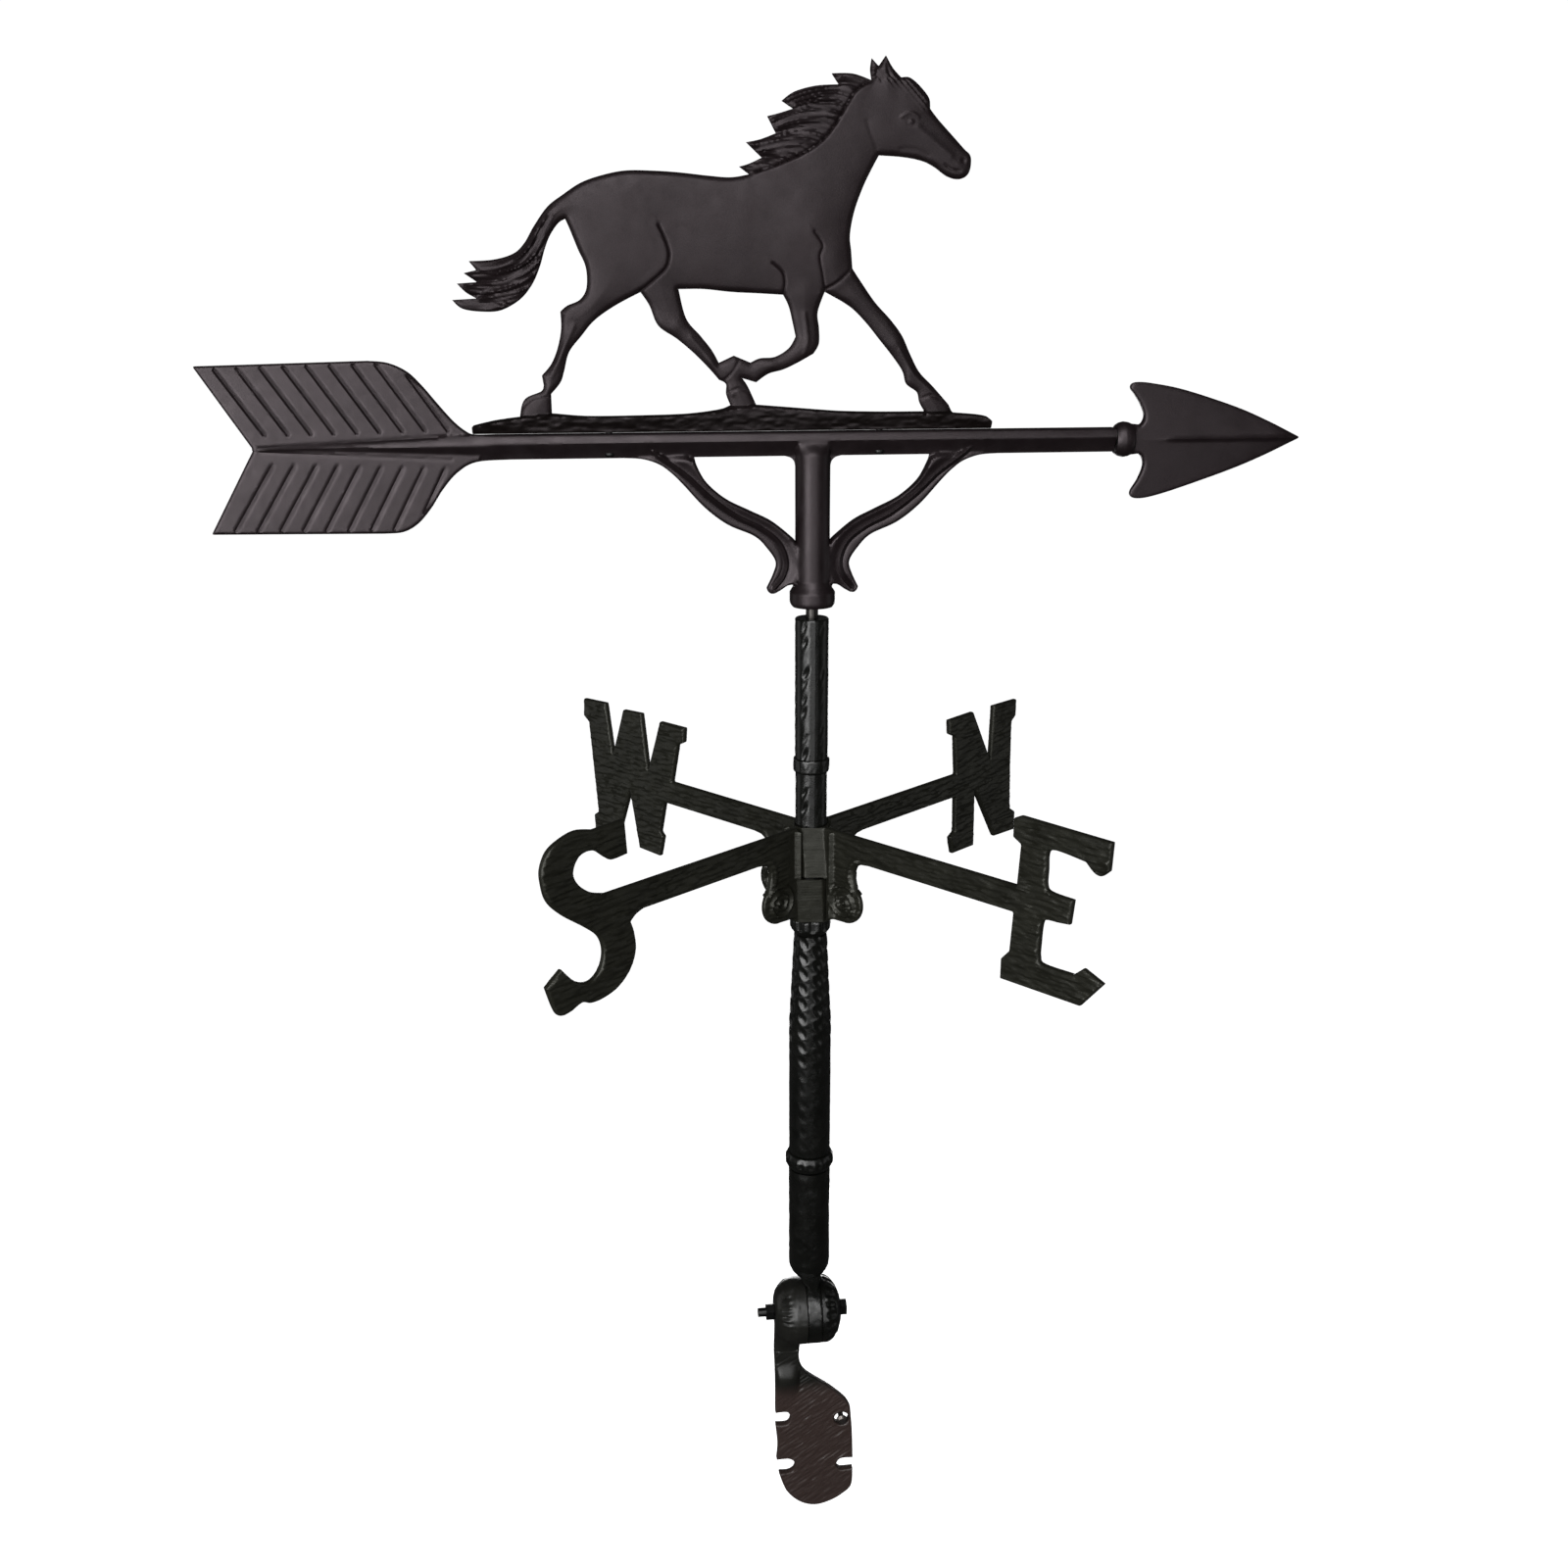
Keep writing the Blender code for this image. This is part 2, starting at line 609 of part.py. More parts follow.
def spindle(material):
    bottom = -UPPER_TOP_DROP - SPINDLE_DEPTH
    profile = ((0.0, bottom), (SPINDLE_RADIUS, bottom), (SPINDLE_RADIUS, -SPINDLE_TOP_DROP - 0.001),
               (SPINDLE_RADIUS - 0.001, -SPINDLE_TOP_DROP), (0.0, -SPINDLE_TOP_DROP))
    item = turned("spindle", profile, 32, material, place=(0.0, MAST_Y, ARROW_Z))
    move_origin(item, mast_point(UPPER_TOP_DROP))
    return item


def upper_post(material):
    """Post drilled for the spindle at the top and for the middle post's peg below."""
    top = -UPPER_TOP_DROP
    socket = -UPPER_END_DROP + MIDDLE_PEG_LENGTH - (UPPER_FERRULE_END_DROP - UPPER_END_DROP) + GAP
    seat = top - SPINDLE_DEPTH - GAP
    bore = SPINDLE_RADIUS + GAP
    peg = MIDDLE_PEG_RADIUS + GAP
    outside = ((peg, -UPPER_END_DROP), (POST_RADIUS, -UPPER_END_DROP), (POST_RADIUS, top - 0.001),
               (POST_RADIUS - 0.001, top), (bore, top), (bore, seat), (0.0, seat), (0.0, socket), (peg, socket))
    item = turned("upper_post", outside, 40, material, place=(0.0, MAST_Y, ARROW_Z))
    move_origin(item, mast_point(UPPER_END_DROP))
    return item


def upper_ferrule(material):
    item = tube("upper_ferrule", UPPER_FERRULE_RADIUS, MIDDLE_PEG_RADIUS + GAP, -UPPER_FERRULE_END_DROP + GAP,
                -UPPER_END_DROP - GAP, 40, material, place=(0.0, MAST_Y, ARROW_Z), edge=0.0008)
    move_origin(item, mast_point(UPPER_FERRULE_END_DROP))
    return item


def middle_post(material):
    """Post that carries the directionals, pegged into its neighbours at both ends."""
    top = -UPPER_FERRULE_END_DROP
    low = -MIDDLE_END_DROP
    profile = ((0.0, low - LOWER_PEG_LENGTH), (LOWER_PEG_RADIUS, low - LOWER_PEG_LENGTH), (LOWER_PEG_RADIUS, low),
               (POST_RADIUS, low), (POST_RADIUS, top), (MIDDLE_PEG_RADIUS, top),
               (MIDDLE_PEG_RADIUS, top + MIDDLE_PEG_LENGTH), (0.0, top + MIDDLE_PEG_LENGTH))
    item = turned("middle_post", profile, 40, material, place=(0.0, MAST_Y, ARROW_Z))
    move_origin(item, mast_point(MIDDLE_END_DROP))
    return item


def lower_ferrule(material):
    top = -HUB_DROP + BOSS_END - GAP
    low = -MIDDLE_END_DROP + GAP
    bore = POST_RADIUS + GAP
    profile = ((bore, low), (LOWER_FERRULE_RADIUS - 0.003, low), (LOWER_FERRULE_RADIUS, low + 0.004),
               (LOWER_FERRULE_RADIUS, top - 0.001), (LOWER_FERRULE_RADIUS - 0.001, top), (bore, top))
    item = turned("lower_ferrule", profile, 40, material, place=(0.0, MAST_Y, ARROW_Z))
    move_origin(item, mast_point(MIDDLE_END_DROP))
    return item


def lower_post(material):
    """Post that swells downwards to the coupling ring."""
    top = -MIDDLE_END_DROP - GAP
    low = -LOWER_END_DROP + GAP
    socket = LOWER_PEG_RADIUS + GAP
    seat = -MIDDLE_END_DROP - LOWER_PEG_LENGTH - GAP
    base = FOOT_PEG_RADIUS + GAP
    roof = -RING_END_DROP + FOOT_PEG_LENGTH + GAP
    profile = ((base, low), (LOWER_RADIUS, low), (LOWER_RADIUS, -LOWER_SWELL_DROP),
               (LOWER_RADIUS - 0.0012, -LOWER_SWELL_DROP + 0.025), (LOWER_NECK_RADIUS, top), (socket, top),
               (socket, seat), (0.0, seat), (0.0, roof), (base, roof))
    item = turned("lower_post", profile, 40, material, place=(0.0, MAST_Y, ARROW_Z))
    move_origin(item, mast_point(LOWER_END_DROP))
    return item


def coupling_ring(material):
    item = tube("coupling_ring", RING_RADIUS, FOOT_PEG_RADIUS + GAP, -RING_END_DROP + GAP, -LOWER_END_DROP,
                40, material, place=(0.0, MAST_Y, ARROW_Z), edge=0.003)
    move_origin(item, mast_point(RING_END_DROP))
    return item


def foot(material):
    """Foot of the mast: a round post that narrows to the middle leaf of the swivel."""
    low = -FOOT_END_DROP
    profile = ((0.0, low - 0.014), (0.0105, low - 0.014), (0.0145, low - 0.008), (FOOT_RADIUS, low),
               (FOOT_RADIUS, -RING_END_DROP), (FOOT_PEG_RADIUS, -RING_END_DROP),
               (FOOT_PEG_RADIUS, -RING_END_DROP + FOOT_PEG_LENGTH), (0.0, -RING_END_DROP + FOOT_PEG_LENGTH))
    item = turned("mast_foot", profile, 40)
    disc = ((0.0, TANG_X[0]), (KNUCKLE_RADIUS, TANG_X[0]), (KNUCKLE_RADIUS, TANG_X[1]), (0.0, TANG_X[1]))
    add(item, turned("leaf", disc, 48, along="X", place=(0.0, 0.0, -BOLT_DROP)))
    neck = slab("neck", [[(TANG_X[0], -BOLT_DROP + 0.010), (TANG_X[1], -BOLT_DROP + 0.010),
                          (TANG_X[1], low - 0.006), (TANG_X[0], low - 0.006)]], 0.020)
    add(item, neck)
    cut(item, rod("bolt_hole", BOLT_RADIUS + GAP, -0.060, 0.060, 24, along="X", place=(0.0, 0.0, -BOLT_DROP)))
    lifted(item, (0.0, MAST_Y, ARROW_Z))
    move_origin(item, mast_point(BOLT_DROP))
    return shade(item, material)


def clutch_cap(material):
    """Domed outer disc of the swivel, on the bolt-head side."""
    start = TANG_X[1] + GAP
    bore = BOLT_RADIUS + GAP
    profile = ((bore, start), (KNUCKLE_RADIUS, start), (KNUCKLE_RADIUS, start + 0.005),
               (KNUCKLE_RADIUS - 0.003, start + 0.010), (KNUCKLE_RADIUS - 0.009, start + 0.015),
               (0.012, BOLT_HEAD_X[0] - GAP), (bore, BOLT_HEAD_X[0] - GAP))
    item = turned("clutch_cap", profile, 48, material, along="X", place=mast_point(BOLT_DROP))
    move_origin(item, mast_point(BOLT_DROP))
    return item


def roof_bracket(material):
    """Slotted plate, neck and outer ear of the swivel in one casting."""
    plate = slab("roof_bracket", [outline(PLATE_RUNS)], PLATE_THICK)
    end = TANG_X[0] - GAP
    ear = ((0.0, -0.0304), (0.013, -0.0304), (KNUCKLE_RADIUS - 0.008, -0.0270), (KNUCKLE_RADIUS - 0.003, -0.020),
           (KNUCKLE_RADIUS, -0.013), (KNUCKLE_RADIUS, end), (0.0, end))
    add(plate, turned("ear", ear, 48, along="X", place=(0.0, 0.0, -BOLT_DROP)))
    neck = [(-0.0302, -0.754), (-0.0085, -0.754), (-0.0085, -0.798), (-0.0085, -0.812), (-0.0302, -0.828)]
    add(plate, slab("neck", [neck], 0.018))
    cut(plate, rod("bolt_hole", BOLT_RADIUS + GAP, -0.060, 0.060, 24, along="X", place=(0.0, 0.0, -BOLT_DROP)))
    hole = rod("hole", PLATE_HOLE_RADIUS, -0.020, 0.020, 32)
    hole.data.transform(turn_to_y())
    lifted(hole, (PLATE_SCREW_X, 0.0, -PLATE_SCREW_DROP))
    cut(plate, hole)
    lifted(plate, (0.0, MAST_Y, ARROW_Z))
    move_origin(plate, mast_point(BOLT_DROP))
    return shade(plate, material)


def turn_to_y():
    return Matrix.Rotation(math.radians(90.0), 4, "X")


def hexagon(name, start, end, bore, place, material):
    """Six-sided prism about X, with an optional round hole."""
    corner = HEX_FLATS / math.sqrt(3.0)
    points = [(corner * math.cos(math.radians(60 * i + 30)), corner * math.sin(math.radians(60 * i + 30)))
              for i in range(6)]
    vertices = [(x, y, z) for x in (start, end) for y, z in points]
    faces = [tuple(reversed(range(6))), tuple(range(6, 12))]
    faces += [(i, (i + 1) % 6, (i + 1) % 6 + 6, i + 6) for i in range(6)]
    item = make_object(name, vertices, faces)
    if bore:
        cut(item, rod("bore", bore, start - 0.01, end + 0.01, 24, along="X"))
    lifted(item, place)
    return shade(item, material)


def swivel_bolt(material):
    item = hexagon("swivel_bolt", BOLT_HEAD_X[0], BOLT_HEAD_X[1], 0.0, (0.0, 0.0, 0.0), material)
    add(item, rod("shank", BOLT_RADIUS, BOLT_TIP_X, BOLT_HEAD_X[0] + 0.002, 24, along="X"))
    lifted(item, mast_point(BOLT_DROP))
    move_origin(item, mast_point(BOLT_DROP))
    return shade(item, material)


def swivel_nut(material):
    item = hexagon("swivel_nut", NUT_X[0], NUT_X[1], BOLT_RADIUS + GAP, mast_point(BOLT_DROP), material)
    move_origin(item, mast_point(BOLT_DROP))
    return item


def plate_screw(material):
    """Roof screw standing in the round hole of the plate."""
    front = MAST_Y - PLATE_THICK / 2.0
    profile = ((0.0, -0.010), (0.0018, -0.006), (0.0024, -0.003), (0.0024, PLATE_THICK + GAP),
               (0.0048, PLATE_THICK + GAP), (0.0048, PLATE_THICK + 0.0018), (0.0030, PLATE_THICK + 0.0036),
               (0.0, PLATE_THICK + 0.0036))
    item = turned("plate_screw", profile, 20)
    item.data.transform(turn_to_y())
    lifted(item, (PLATE_SCREW_X, front + PLATE_THICK, ARROW_Z - PLATE_SCREW_DROP))
    move_origin(item, (PLATE_SCREW_X, front, ARROW_Z - PLATE_SCREW_DROP))
    return shade(item, material)


def casting_side(letter, lower_boss):
    """Outline of one arm with its letter, web and scroll, out from the mast."""
    letter_points = outline(letter, 3, close=False)
    clear = BOSS_RADIUS + GAP
    joined = BOSS_RADIUS - 0.0015
    top_inner = clear if lower_boss else joined
    low_inner = joined if lower_boss else clear
    points = [(top_inner, ARM_HALF_HEIGHT)] + letter_points + [(0.049, -ARM_HALF_HEIGHT), (0.047, -0.017),
                                                               (0.047, -0.024), (0.050, -0.030)]
    middle = (0.038, -0.047)
    radius = 0.0173
    for degrees in range(40, -91, -13):
        angle = math.radians(degrees)
        points.append((middle[0] + radius * math.cos(angle), middle[1] + radius * math.sin(angle)))
    points += [(0.030, -0.0645), (0.022, -0.0655), (low_inner + 0.003, BOSS_END + 0.001), (low_inner, BOSS_END)]
    split = BOSS_SPLIT - GAP if lower_boss else BOSS_SPLIT
    points += [(low_inner, split), (top_inner, split)]
    return points


def directional(name, right_letter, left_letter, angle, lower_boss, material):
    """One casting: a letter at each end, joined through half of the hub."""
    right = casting_side(LETTERS[right_letter], lower_boss)
    left = [(-r, z) for r, z in reversed(casting_side(LETTERS[left_letter], lower_boss))]
    top = BOSS_SPLIT - GAP if lower_boss else BOSS_TOP
    low = BOSS_END if lower_boss else BOSS_SPLIT
    bore = POST_RADIUS + GAP
    body = tube(name, BOSS_RADIUS, bore, low, top, 48)
    add(body, slab("side", [right], ARM_THICK))
    add(body, slab("side", [left], ARM_THICK))
    middle = (top + low) / 2.0
    hole = rod("set_screw_hole", SET_SCREW_RADIUS + GAP, 0.0, 0.030, 16, along="X", place=(0.0, 0.0, middle))
    turn_about_mast(hole, math.radians(90.0) - angle)
    cut(body, hole)
    turn_about_mast(body, angle)
    lifted(body, mast_point(HUB_DROP))
    move_origin(body, mast_point(HUB_DROP))
    return shade(body, material)


def turn_about_mast(item, angle):
    cosine = math.cos(angle)
    sine = math.sin(angle)
    for vertex in item.data.vertices:
        x, y, z = vertex.co
        vertex.co = (x * cosine - y * sine, x * sine + y * cosine, z)


def set_screw(name, middle, angle, material):
    """Grub screw through the wall of one boss."""
    start = POST_RADIUS + GAP
    item = rod(name, SET_SCREW_RADIUS, start, start + SET_SCREW_LENGTH, 16, along="X", place=(0.0, 0.0, middle))
    turn_about_mast(item, angle)
    lifted(item, mast_point(HUB_DROP))
    move_origin(item, mast_point(HUB_DROP))
    return shade(item, material)


def build():
    clear_scene()
    vane = coating("vane_coat", (0.040, 0.033, 0.032), 0.45)
    letters = coating("letter_coat", (0.016, 0.015, 0.012), 0.50)
    mast = coating("mast_coat", (0.018, 0.018, 0.016), 0.35)
    bracket = coating("bracket_coat", (0.036, 0.028, 0.026), 0.55)
    steel = coating("steel", (0.45, 0.44, 0.42), 0.35, 1.0)
    black_steel = coating("blackened_steel", (0.030, 0.030, 0.030), 0.40, 0.6)
    nylon = coating("nylon", (0.60, 0.58, 0.52), 0.50)
    horse(vane)
    for name, x in zip(("ornament_screw_rear", "ornament_screw_front"), SCREW_X):
        ornament_screw(name, x, black_steel)
    arrow_body(vane)
    arrow_head(vane)
    sleeve_bush(nylon)
    pivot_ball(steel)
    spindle(steel)
    upper_post(mast)
    upper_ferrule(mast)
    middle_post(mast)
    directional("east_west_directional", "east", "west", NORTH_ANGLE - math.pi / 2.0, False, letters)
    directional("north_south_directional", "north", "south", NORTH_ANGLE, True, letters)
    set_screw("set_screw_upper", (BOSS_TOP + BOSS_SPLIT) / 2.0, math.radians(90.0), black_steel)
    set_screw("set_screw_lower", (BOSS_SPLIT - GAP + BOSS_END) / 2.0, math.radians(90.0), black_steel)
    lower_ferrule(mast)
    lower_post(mast)
    coupling_ring(mast)
    foot(mast)
    clutch_cap(mast)
    roof_bracket(bracket)
    swivel_bolt(black_steel)
    swivel_nut(black_steel)
    plate_screw(steel)


build()
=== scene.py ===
"""Finished look of the cast weather vane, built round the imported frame."""

import math

import bpy
import numpy as np
from mathutils import Matrix, Vector, geometry


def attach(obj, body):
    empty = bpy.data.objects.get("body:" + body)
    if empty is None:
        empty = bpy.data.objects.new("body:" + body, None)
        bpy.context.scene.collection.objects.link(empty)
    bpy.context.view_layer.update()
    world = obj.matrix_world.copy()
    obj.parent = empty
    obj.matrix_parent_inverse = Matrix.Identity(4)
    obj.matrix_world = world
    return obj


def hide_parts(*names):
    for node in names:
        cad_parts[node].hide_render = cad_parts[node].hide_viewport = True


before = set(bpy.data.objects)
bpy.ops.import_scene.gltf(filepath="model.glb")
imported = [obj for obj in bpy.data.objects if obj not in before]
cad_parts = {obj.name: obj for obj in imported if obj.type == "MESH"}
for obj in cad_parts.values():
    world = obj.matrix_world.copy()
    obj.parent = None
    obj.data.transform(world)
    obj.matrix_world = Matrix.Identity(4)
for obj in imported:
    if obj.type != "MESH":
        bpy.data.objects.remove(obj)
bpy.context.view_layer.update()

# Places in metres: the mast's axis, the arrow's axis, the middle of the letters' arms and the swivel bolt.
MM = 0.001
MAST_Y = -0.004
ARROW_Z = 0.895
HUB_Z = ARROW_Z - 0.3076
BOLT_DROP = 0.750
BOLT_Z = ARROW_Z - BOLT_DROP

# Radius in millimetres of the hole for the swivel bolt.
BOLT_BORE = 4.2

# The bearing of the letter N, and how far the vane rests out of level on its pivot.
NORTH_ANGLE = math.radians(39.6)
TILT = math.radians(-0.09)

# Hub of the letters in millimetres: where its two halves meet, how far their square bosses reach on the
# diagonal and on their flat, and where the webs begin.
SPLIT = -31.15
BOSS_DIAGONAL = 20.8
UPPER_BOSS_CUT = 15.0
LOWER_BOSS_CUT = 17.4
WEB_INNER = 18.4

# Camera: lens in mm, angles in degrees, metres from the mast's axis and above the letters' arms.
LENS = 36.0
PITCH = 17.2
BEARING = -6.7
ROLL = -0.03
AWAY = 1.186
ASIDE = -0.0215
RISE = 0.410

# Softboxes: name, place, height on the mast they aim at, width, height and power.
LIGHTS = (
    ("left", (-1.60, -2.1, 0.82), 0.60, 1.4, 1.9, 46.0),
    ("front", (0.25, -2.7, 0.65), 0.60, 1.8, 1.9, 14.5),
    ("high", (-0.4, -2.0, 2.4), 0.60, 1.4, 1.2, 30.0),
    ("middle", (-0.2, -2.6, 1.55), 0.40, 1.4, 0.6, 7.0),
    ("side_left", (-2.4, 0.8, 0.5), 0.60, 1.0, 1.6, 2.8),
    ("side_right", (2.5, -0.2, 0.5), 0.60, 1.0, 1.6, 2.0),
    ("back", (0.5, 2.8, -0.3), 0.60, 1.8, 1.3, 30.0),
)

# Outlines in millimetres. A path is its start, then one point for each straight stretch or a group of
# points for each smooth curve. Vane and plate: (along the arrow, above its axis). Letters: (out from the
# mast, above the arm's middle).
HORSE = (
    (49, 264),
    ((54, 256), (60, 250)),
    ((66, 250), (73, 245), (80, 237), (81, 230)),
    ((87, 223), (98, 212), (106, 204), (111, 199), (111, 190.5), (108, 185.5), (102, 183.5), (94, 185.5),
     (85, 191.5), (76, 195.5), (62, 198), (45, 199)),
    ((40, 190), (34, 178), (28, 162), (25, 146), (26, 135), (27, 123)),
    ((34, 113), (44, 99.5), (55, 88), (64, 76.5), (70.5, 63), (77.5, 50.5), (88, 40), (100, 27)),
    (103, 21),
    ((121, 19.5), (128, 18.5)),
    (132, 15), (132, 9.5), (-248, 9.5), (-248, 15),
    ((-232, 19), (-214, 21)),
    ((-212, 30), (-208, 35), (-198, 39), (-196, 43)),
    (-197, 50),
    ((-190, 58), (-185, 69), (-182, 82), (-182, 94)),
    ((-177, 98), (-168, 102), (-163, 110), (-163, 124), (-168, 136), (-173, 149), (-176, 156)),
    ((-181, 153), (-187, 145), (-191, 136), (-195, 124), (-201, 112), (-210, 102), (-223, 95), (-236, 94),
     (-250, 96), (-257, 102)),
    (-240, 103),
    ((-247, 107), (-253, 113)),
    (-239, 114), (-248, 120), (-239, 122), (-244, 128),
    ((-227, 129), (-213, 133), (-205, 140), (-198, 151), (-188, 164), (-177, 172), (-164, 180),
     (-149, 185), (-133, 188), (-114, 188), (-96, 187), (-76, 185), (-60, 184), (-47, 186)),
    (-54, 191),
    ((-47, 193), (-38, 197)),
    (-49, 207),
    ((-39, 209), (-28, 213)),
    (-34, 224),
    ((-26, 226), (-16, 229)),
    (-24, 234),
    ((-15, 240), (0, 244), (16, 245)),
    (11, 252),
    ((26, 252), (39, 248)),
    ((38, 255), (39, 262)),
    (44, 257), (49, 264),
)
HIND_GAP = (
    (-125, 107),
    ((-119, 98), (-113, 84), (-100, 75), (-88, 65), (-77, 54), (-70, 46)),
    ((-65, 43), (-65, 36), (-62, 28)),
    ((-72, 24.5), (-94, 22), (-128, 21), (-167, 21), (-191, 23.5)),
    (-191, 37),
    ((-184, 45), (-181, 53), (-177, 66), (-168, 77), (-158, 88), (-143, 98), (-125, 107)),
)
BELLY_GAP = (
    (-98, 109),
    ((-80, 109), (-60, 107), (-40, 106), (-23, 105)),
    ((-19, 97), (-16, 85), (-14, 76)),
    ((-19, 68), (-29, 62), (-40, 61), (-47, 58)),
    (-59, 63), (-70, 58),
    ((-75, 67), (-83, 77), (-93, 89), (-98, 109)),
)
FORE_GAP = (
    (-53, 47), (-43, 44),
    ((-34, 50), (-23, 53), (-12, 58), (-1, 64)),
    ((3, 71), (3, 82), (2, 93), (7, 107)),
    ((25, 97), (37, 86), (48, 73), (58, 61), (65, 51), (68, 42), (76, 36), (78, 29), (82, 22)),
    ((50, 22), (18, 23), (-19, 26), (-43, 28)),
    ((-49, 41), (-53, 47)),
)
BRACE_RIGHT = (
    (140, -9), (126, -10), (114, -14), (105, -20.5), (97, -28.5), (81, -46), (64, -59), (44, -68),
    (34, -78), (28, -88), (30, -97), (35, -107.5),
)
BRACE_WINDOW = (
    (88, -9), (86, -16), (79, -28), (65, -40), (47, -49), (31, -57), (16, -69), (12.5, -73),
)
FEATHER_TOP = (
    (-230, 9), (-246, 9), (-253, 12), (-261, 19), (-271, 31), (-281, 43.5), (-291, 53.5), (-304, 59.5),
    (-318, 61),
)
FEATHER_LOW = (
    (-315, -61), (-301, -60), (-290, -54), (-280, -43), (-271, -30), (-260, -18), (-246, -10.5),
    (-222, -9),
)
LETTERS = {
    "north": (
        (186, 10.5), (183, 45), (175, 49), (174, 62), (208, 63), (236, 13), (238, 63), (272, 63),
        (272, 48), (266, 43),
        ((267, 0), (269, -40)),
        (277, -45), (277, -63), (246, -62), (214, -10), (215, -63), (184, -63), (180, -47), (187, -43),
        (186, -10.5),
    ),
    "east": (
        (201, 10.5), (203, 42), (196, 46), (196, 60), (202, 63), (277, 61), (276, 40),
        ((270, 35), (264, 36), (257, 42)),
        ((240, 44), (230, 44), (226, 40), (226, 28), (226, 17), (230, 13), (249, 12)),
        (247, -7),
        ((238, -8), (227, -9), (224, -14), (223, -28), (223, -39), (227, -43), (252, -43)),
        (260, -36), (277, -43), (259, -65), (190, -65), (190, -49), (197, -41), (199, -10.5),
    ),
    "south": (
        (214, 10.5),
        ((227, 15), (238, 24), (242, 34), (236, 44), (224, 45), (213, 37), (207, 34), (193, 35)),
        (195, 61), (223, 60),
        ((238, 63), (252, 60), (263, 54), (269, 43), (269, 32), (265, 18), (253, 5), (233, -10),
         (222, -20), (218, -31), (220, -42), (226, -49), (234, -51), (245, -46), (256, -34)),
        (270, -44),
        ((263, -64), (257, -69), (248, -68)),
        ((239, -65), (231, -68), (220, -68), (206, -64), (194, -54), (188, -40), (189, -26), (192, -17)),
        ((187, -13), (180, -10.5)),
    ),
    "west": (
        (162, 10.5), (154, 45), (146, 49), (145, 62), (176, 62), (193, 15), (200, 65), (224, 64),
        (240, 20), (248, 66), (278, 65), (279, 49), (272, 44),
        ((266, -12), (263, -39)),
        (269, -43), (268, -62), (238, -62), (218, -10), (207, -61), (180, -62), (175, -43), (179, -39),
        (172, -10.5),
    ),
}
PLATE = (
    (-9, -795),
    ((-7, -807), (-1, -816), (19, -832), (33, -846), (38, -855)),
    ((40, -880), (41, -910)),
    ((30, -910), (26, -915), (26, -918), (30, -922), (41, -922)),
    ((40, -940), (32, -949), (20, -956), (6, -959), (-8, -954), (-20, -941), (-27, -921)),
    ((-18, -921), (-13, -917), (-13, -910), (-18, -906), (-29, -906)),
    ((-28, -890), (-30, -868)),
    ((-20, -868), (-17, -864), (-17, -859), (-20, -855), (-30, -855)),
    ((-30, -820), (-31, -790)),
)


# ---------------------------------------------------------------- outlines and fields

def curve_point(before, start, end, after, share):
    """Catmull-Rom curve between start and end."""
    two = share * share
    three = two * share
    return tuple(0.5 * (2.0 * s + (e - b) * share + (2.0 * b - 5.0 * s + 4.0 * e - a) * two
                        + (3.0 * s - b - 3.0 * e + a) * three)
                 for b, s, e, a in zip(before, start, end, after))


def smooth_run(points, steps=6):
    """Points along one run, without its last point."""
    if len(points) == 2:
        return [points[0]]
    result = []
    last = len(points) - 1
    for index in range(last):
        before = points[max(index - 1, 0)]
        after = points[min(index + 2, last)]
        for step in range(steps):
            result.append(curve_point(before, points[index], points[index + 1], after, step / steps))
    return result


def outline(path):
    """Points of a path; a closed path ends where it starts, and that point comes only once."""
    points = []
    here = path[0]
    for stretch in path[1:]:
        run = (here, *stretch) if isinstance(stretch[0], tuple) else (here, stretch)
        points.extend(smooth_run(run))
        here = run[-1]
    if here != path[0]:
        points.append(here)
    return points


def open_curve(points):
    """A smooth curve with its last point."""
    return smooth_run(points) + [points[-1]]


def soften(points, radius):
    """Replace each sharp corner of a loop by a short arc of about this radius."""
    points = [p for index, p in enumerate(points) if math.dist(p, points[index - 1]) > 1e-6]
    result = []
    count = len(points)
    for index in range(count):
        here = np.array(points[index], float)
        before = np.array(points[index - 1], float) - here
        after = np.array(points[(index + 1) % count], float) - here
        one = np.linalg.norm(before)
        two = np.linalg.norm(after)
        turn = math.acos(max(-1.0, min(1.0, float(before @ after) / (one * two))))
        if turn > math.radians(155.0):
            result.append(tuple(here))
            continue
        reach = min(radius, 0.4 * one, 0.4 * two)
        start = here + before / one * reach
        end = here + after / two * reach
        for share in (0.0, 0.25, 0.5, 0.75, 1.0):
            point = start * (1 - share) ** 2 + 2 * here * share * (1 - share) + end * share ** 2
            result.append(tuple(point))
    return result


def refine(points, step):
    """Split long edges of a closed loop."""
    result = []
    for index, point in enumerate(points):
        following = points[(index + 1) % len(points)]
        length = math.dist(point, following)
        pieces = max(1, math.ceil(length / step))
        for piece in range(pieces):
            share = piece / pieces
            result.append((point[0] + (following[0] - point[0]) * share,
                           point[1] + (following[1] - point[1]) * share))
    return result


def segments_of(loops):
    starts = np.concatenate([np.array(loop, float) for loop in loops])
    ends = np.concatenate([np.roll(np.array(loop, float), -1, axis=0) for loop in loops])
    return starts, ends


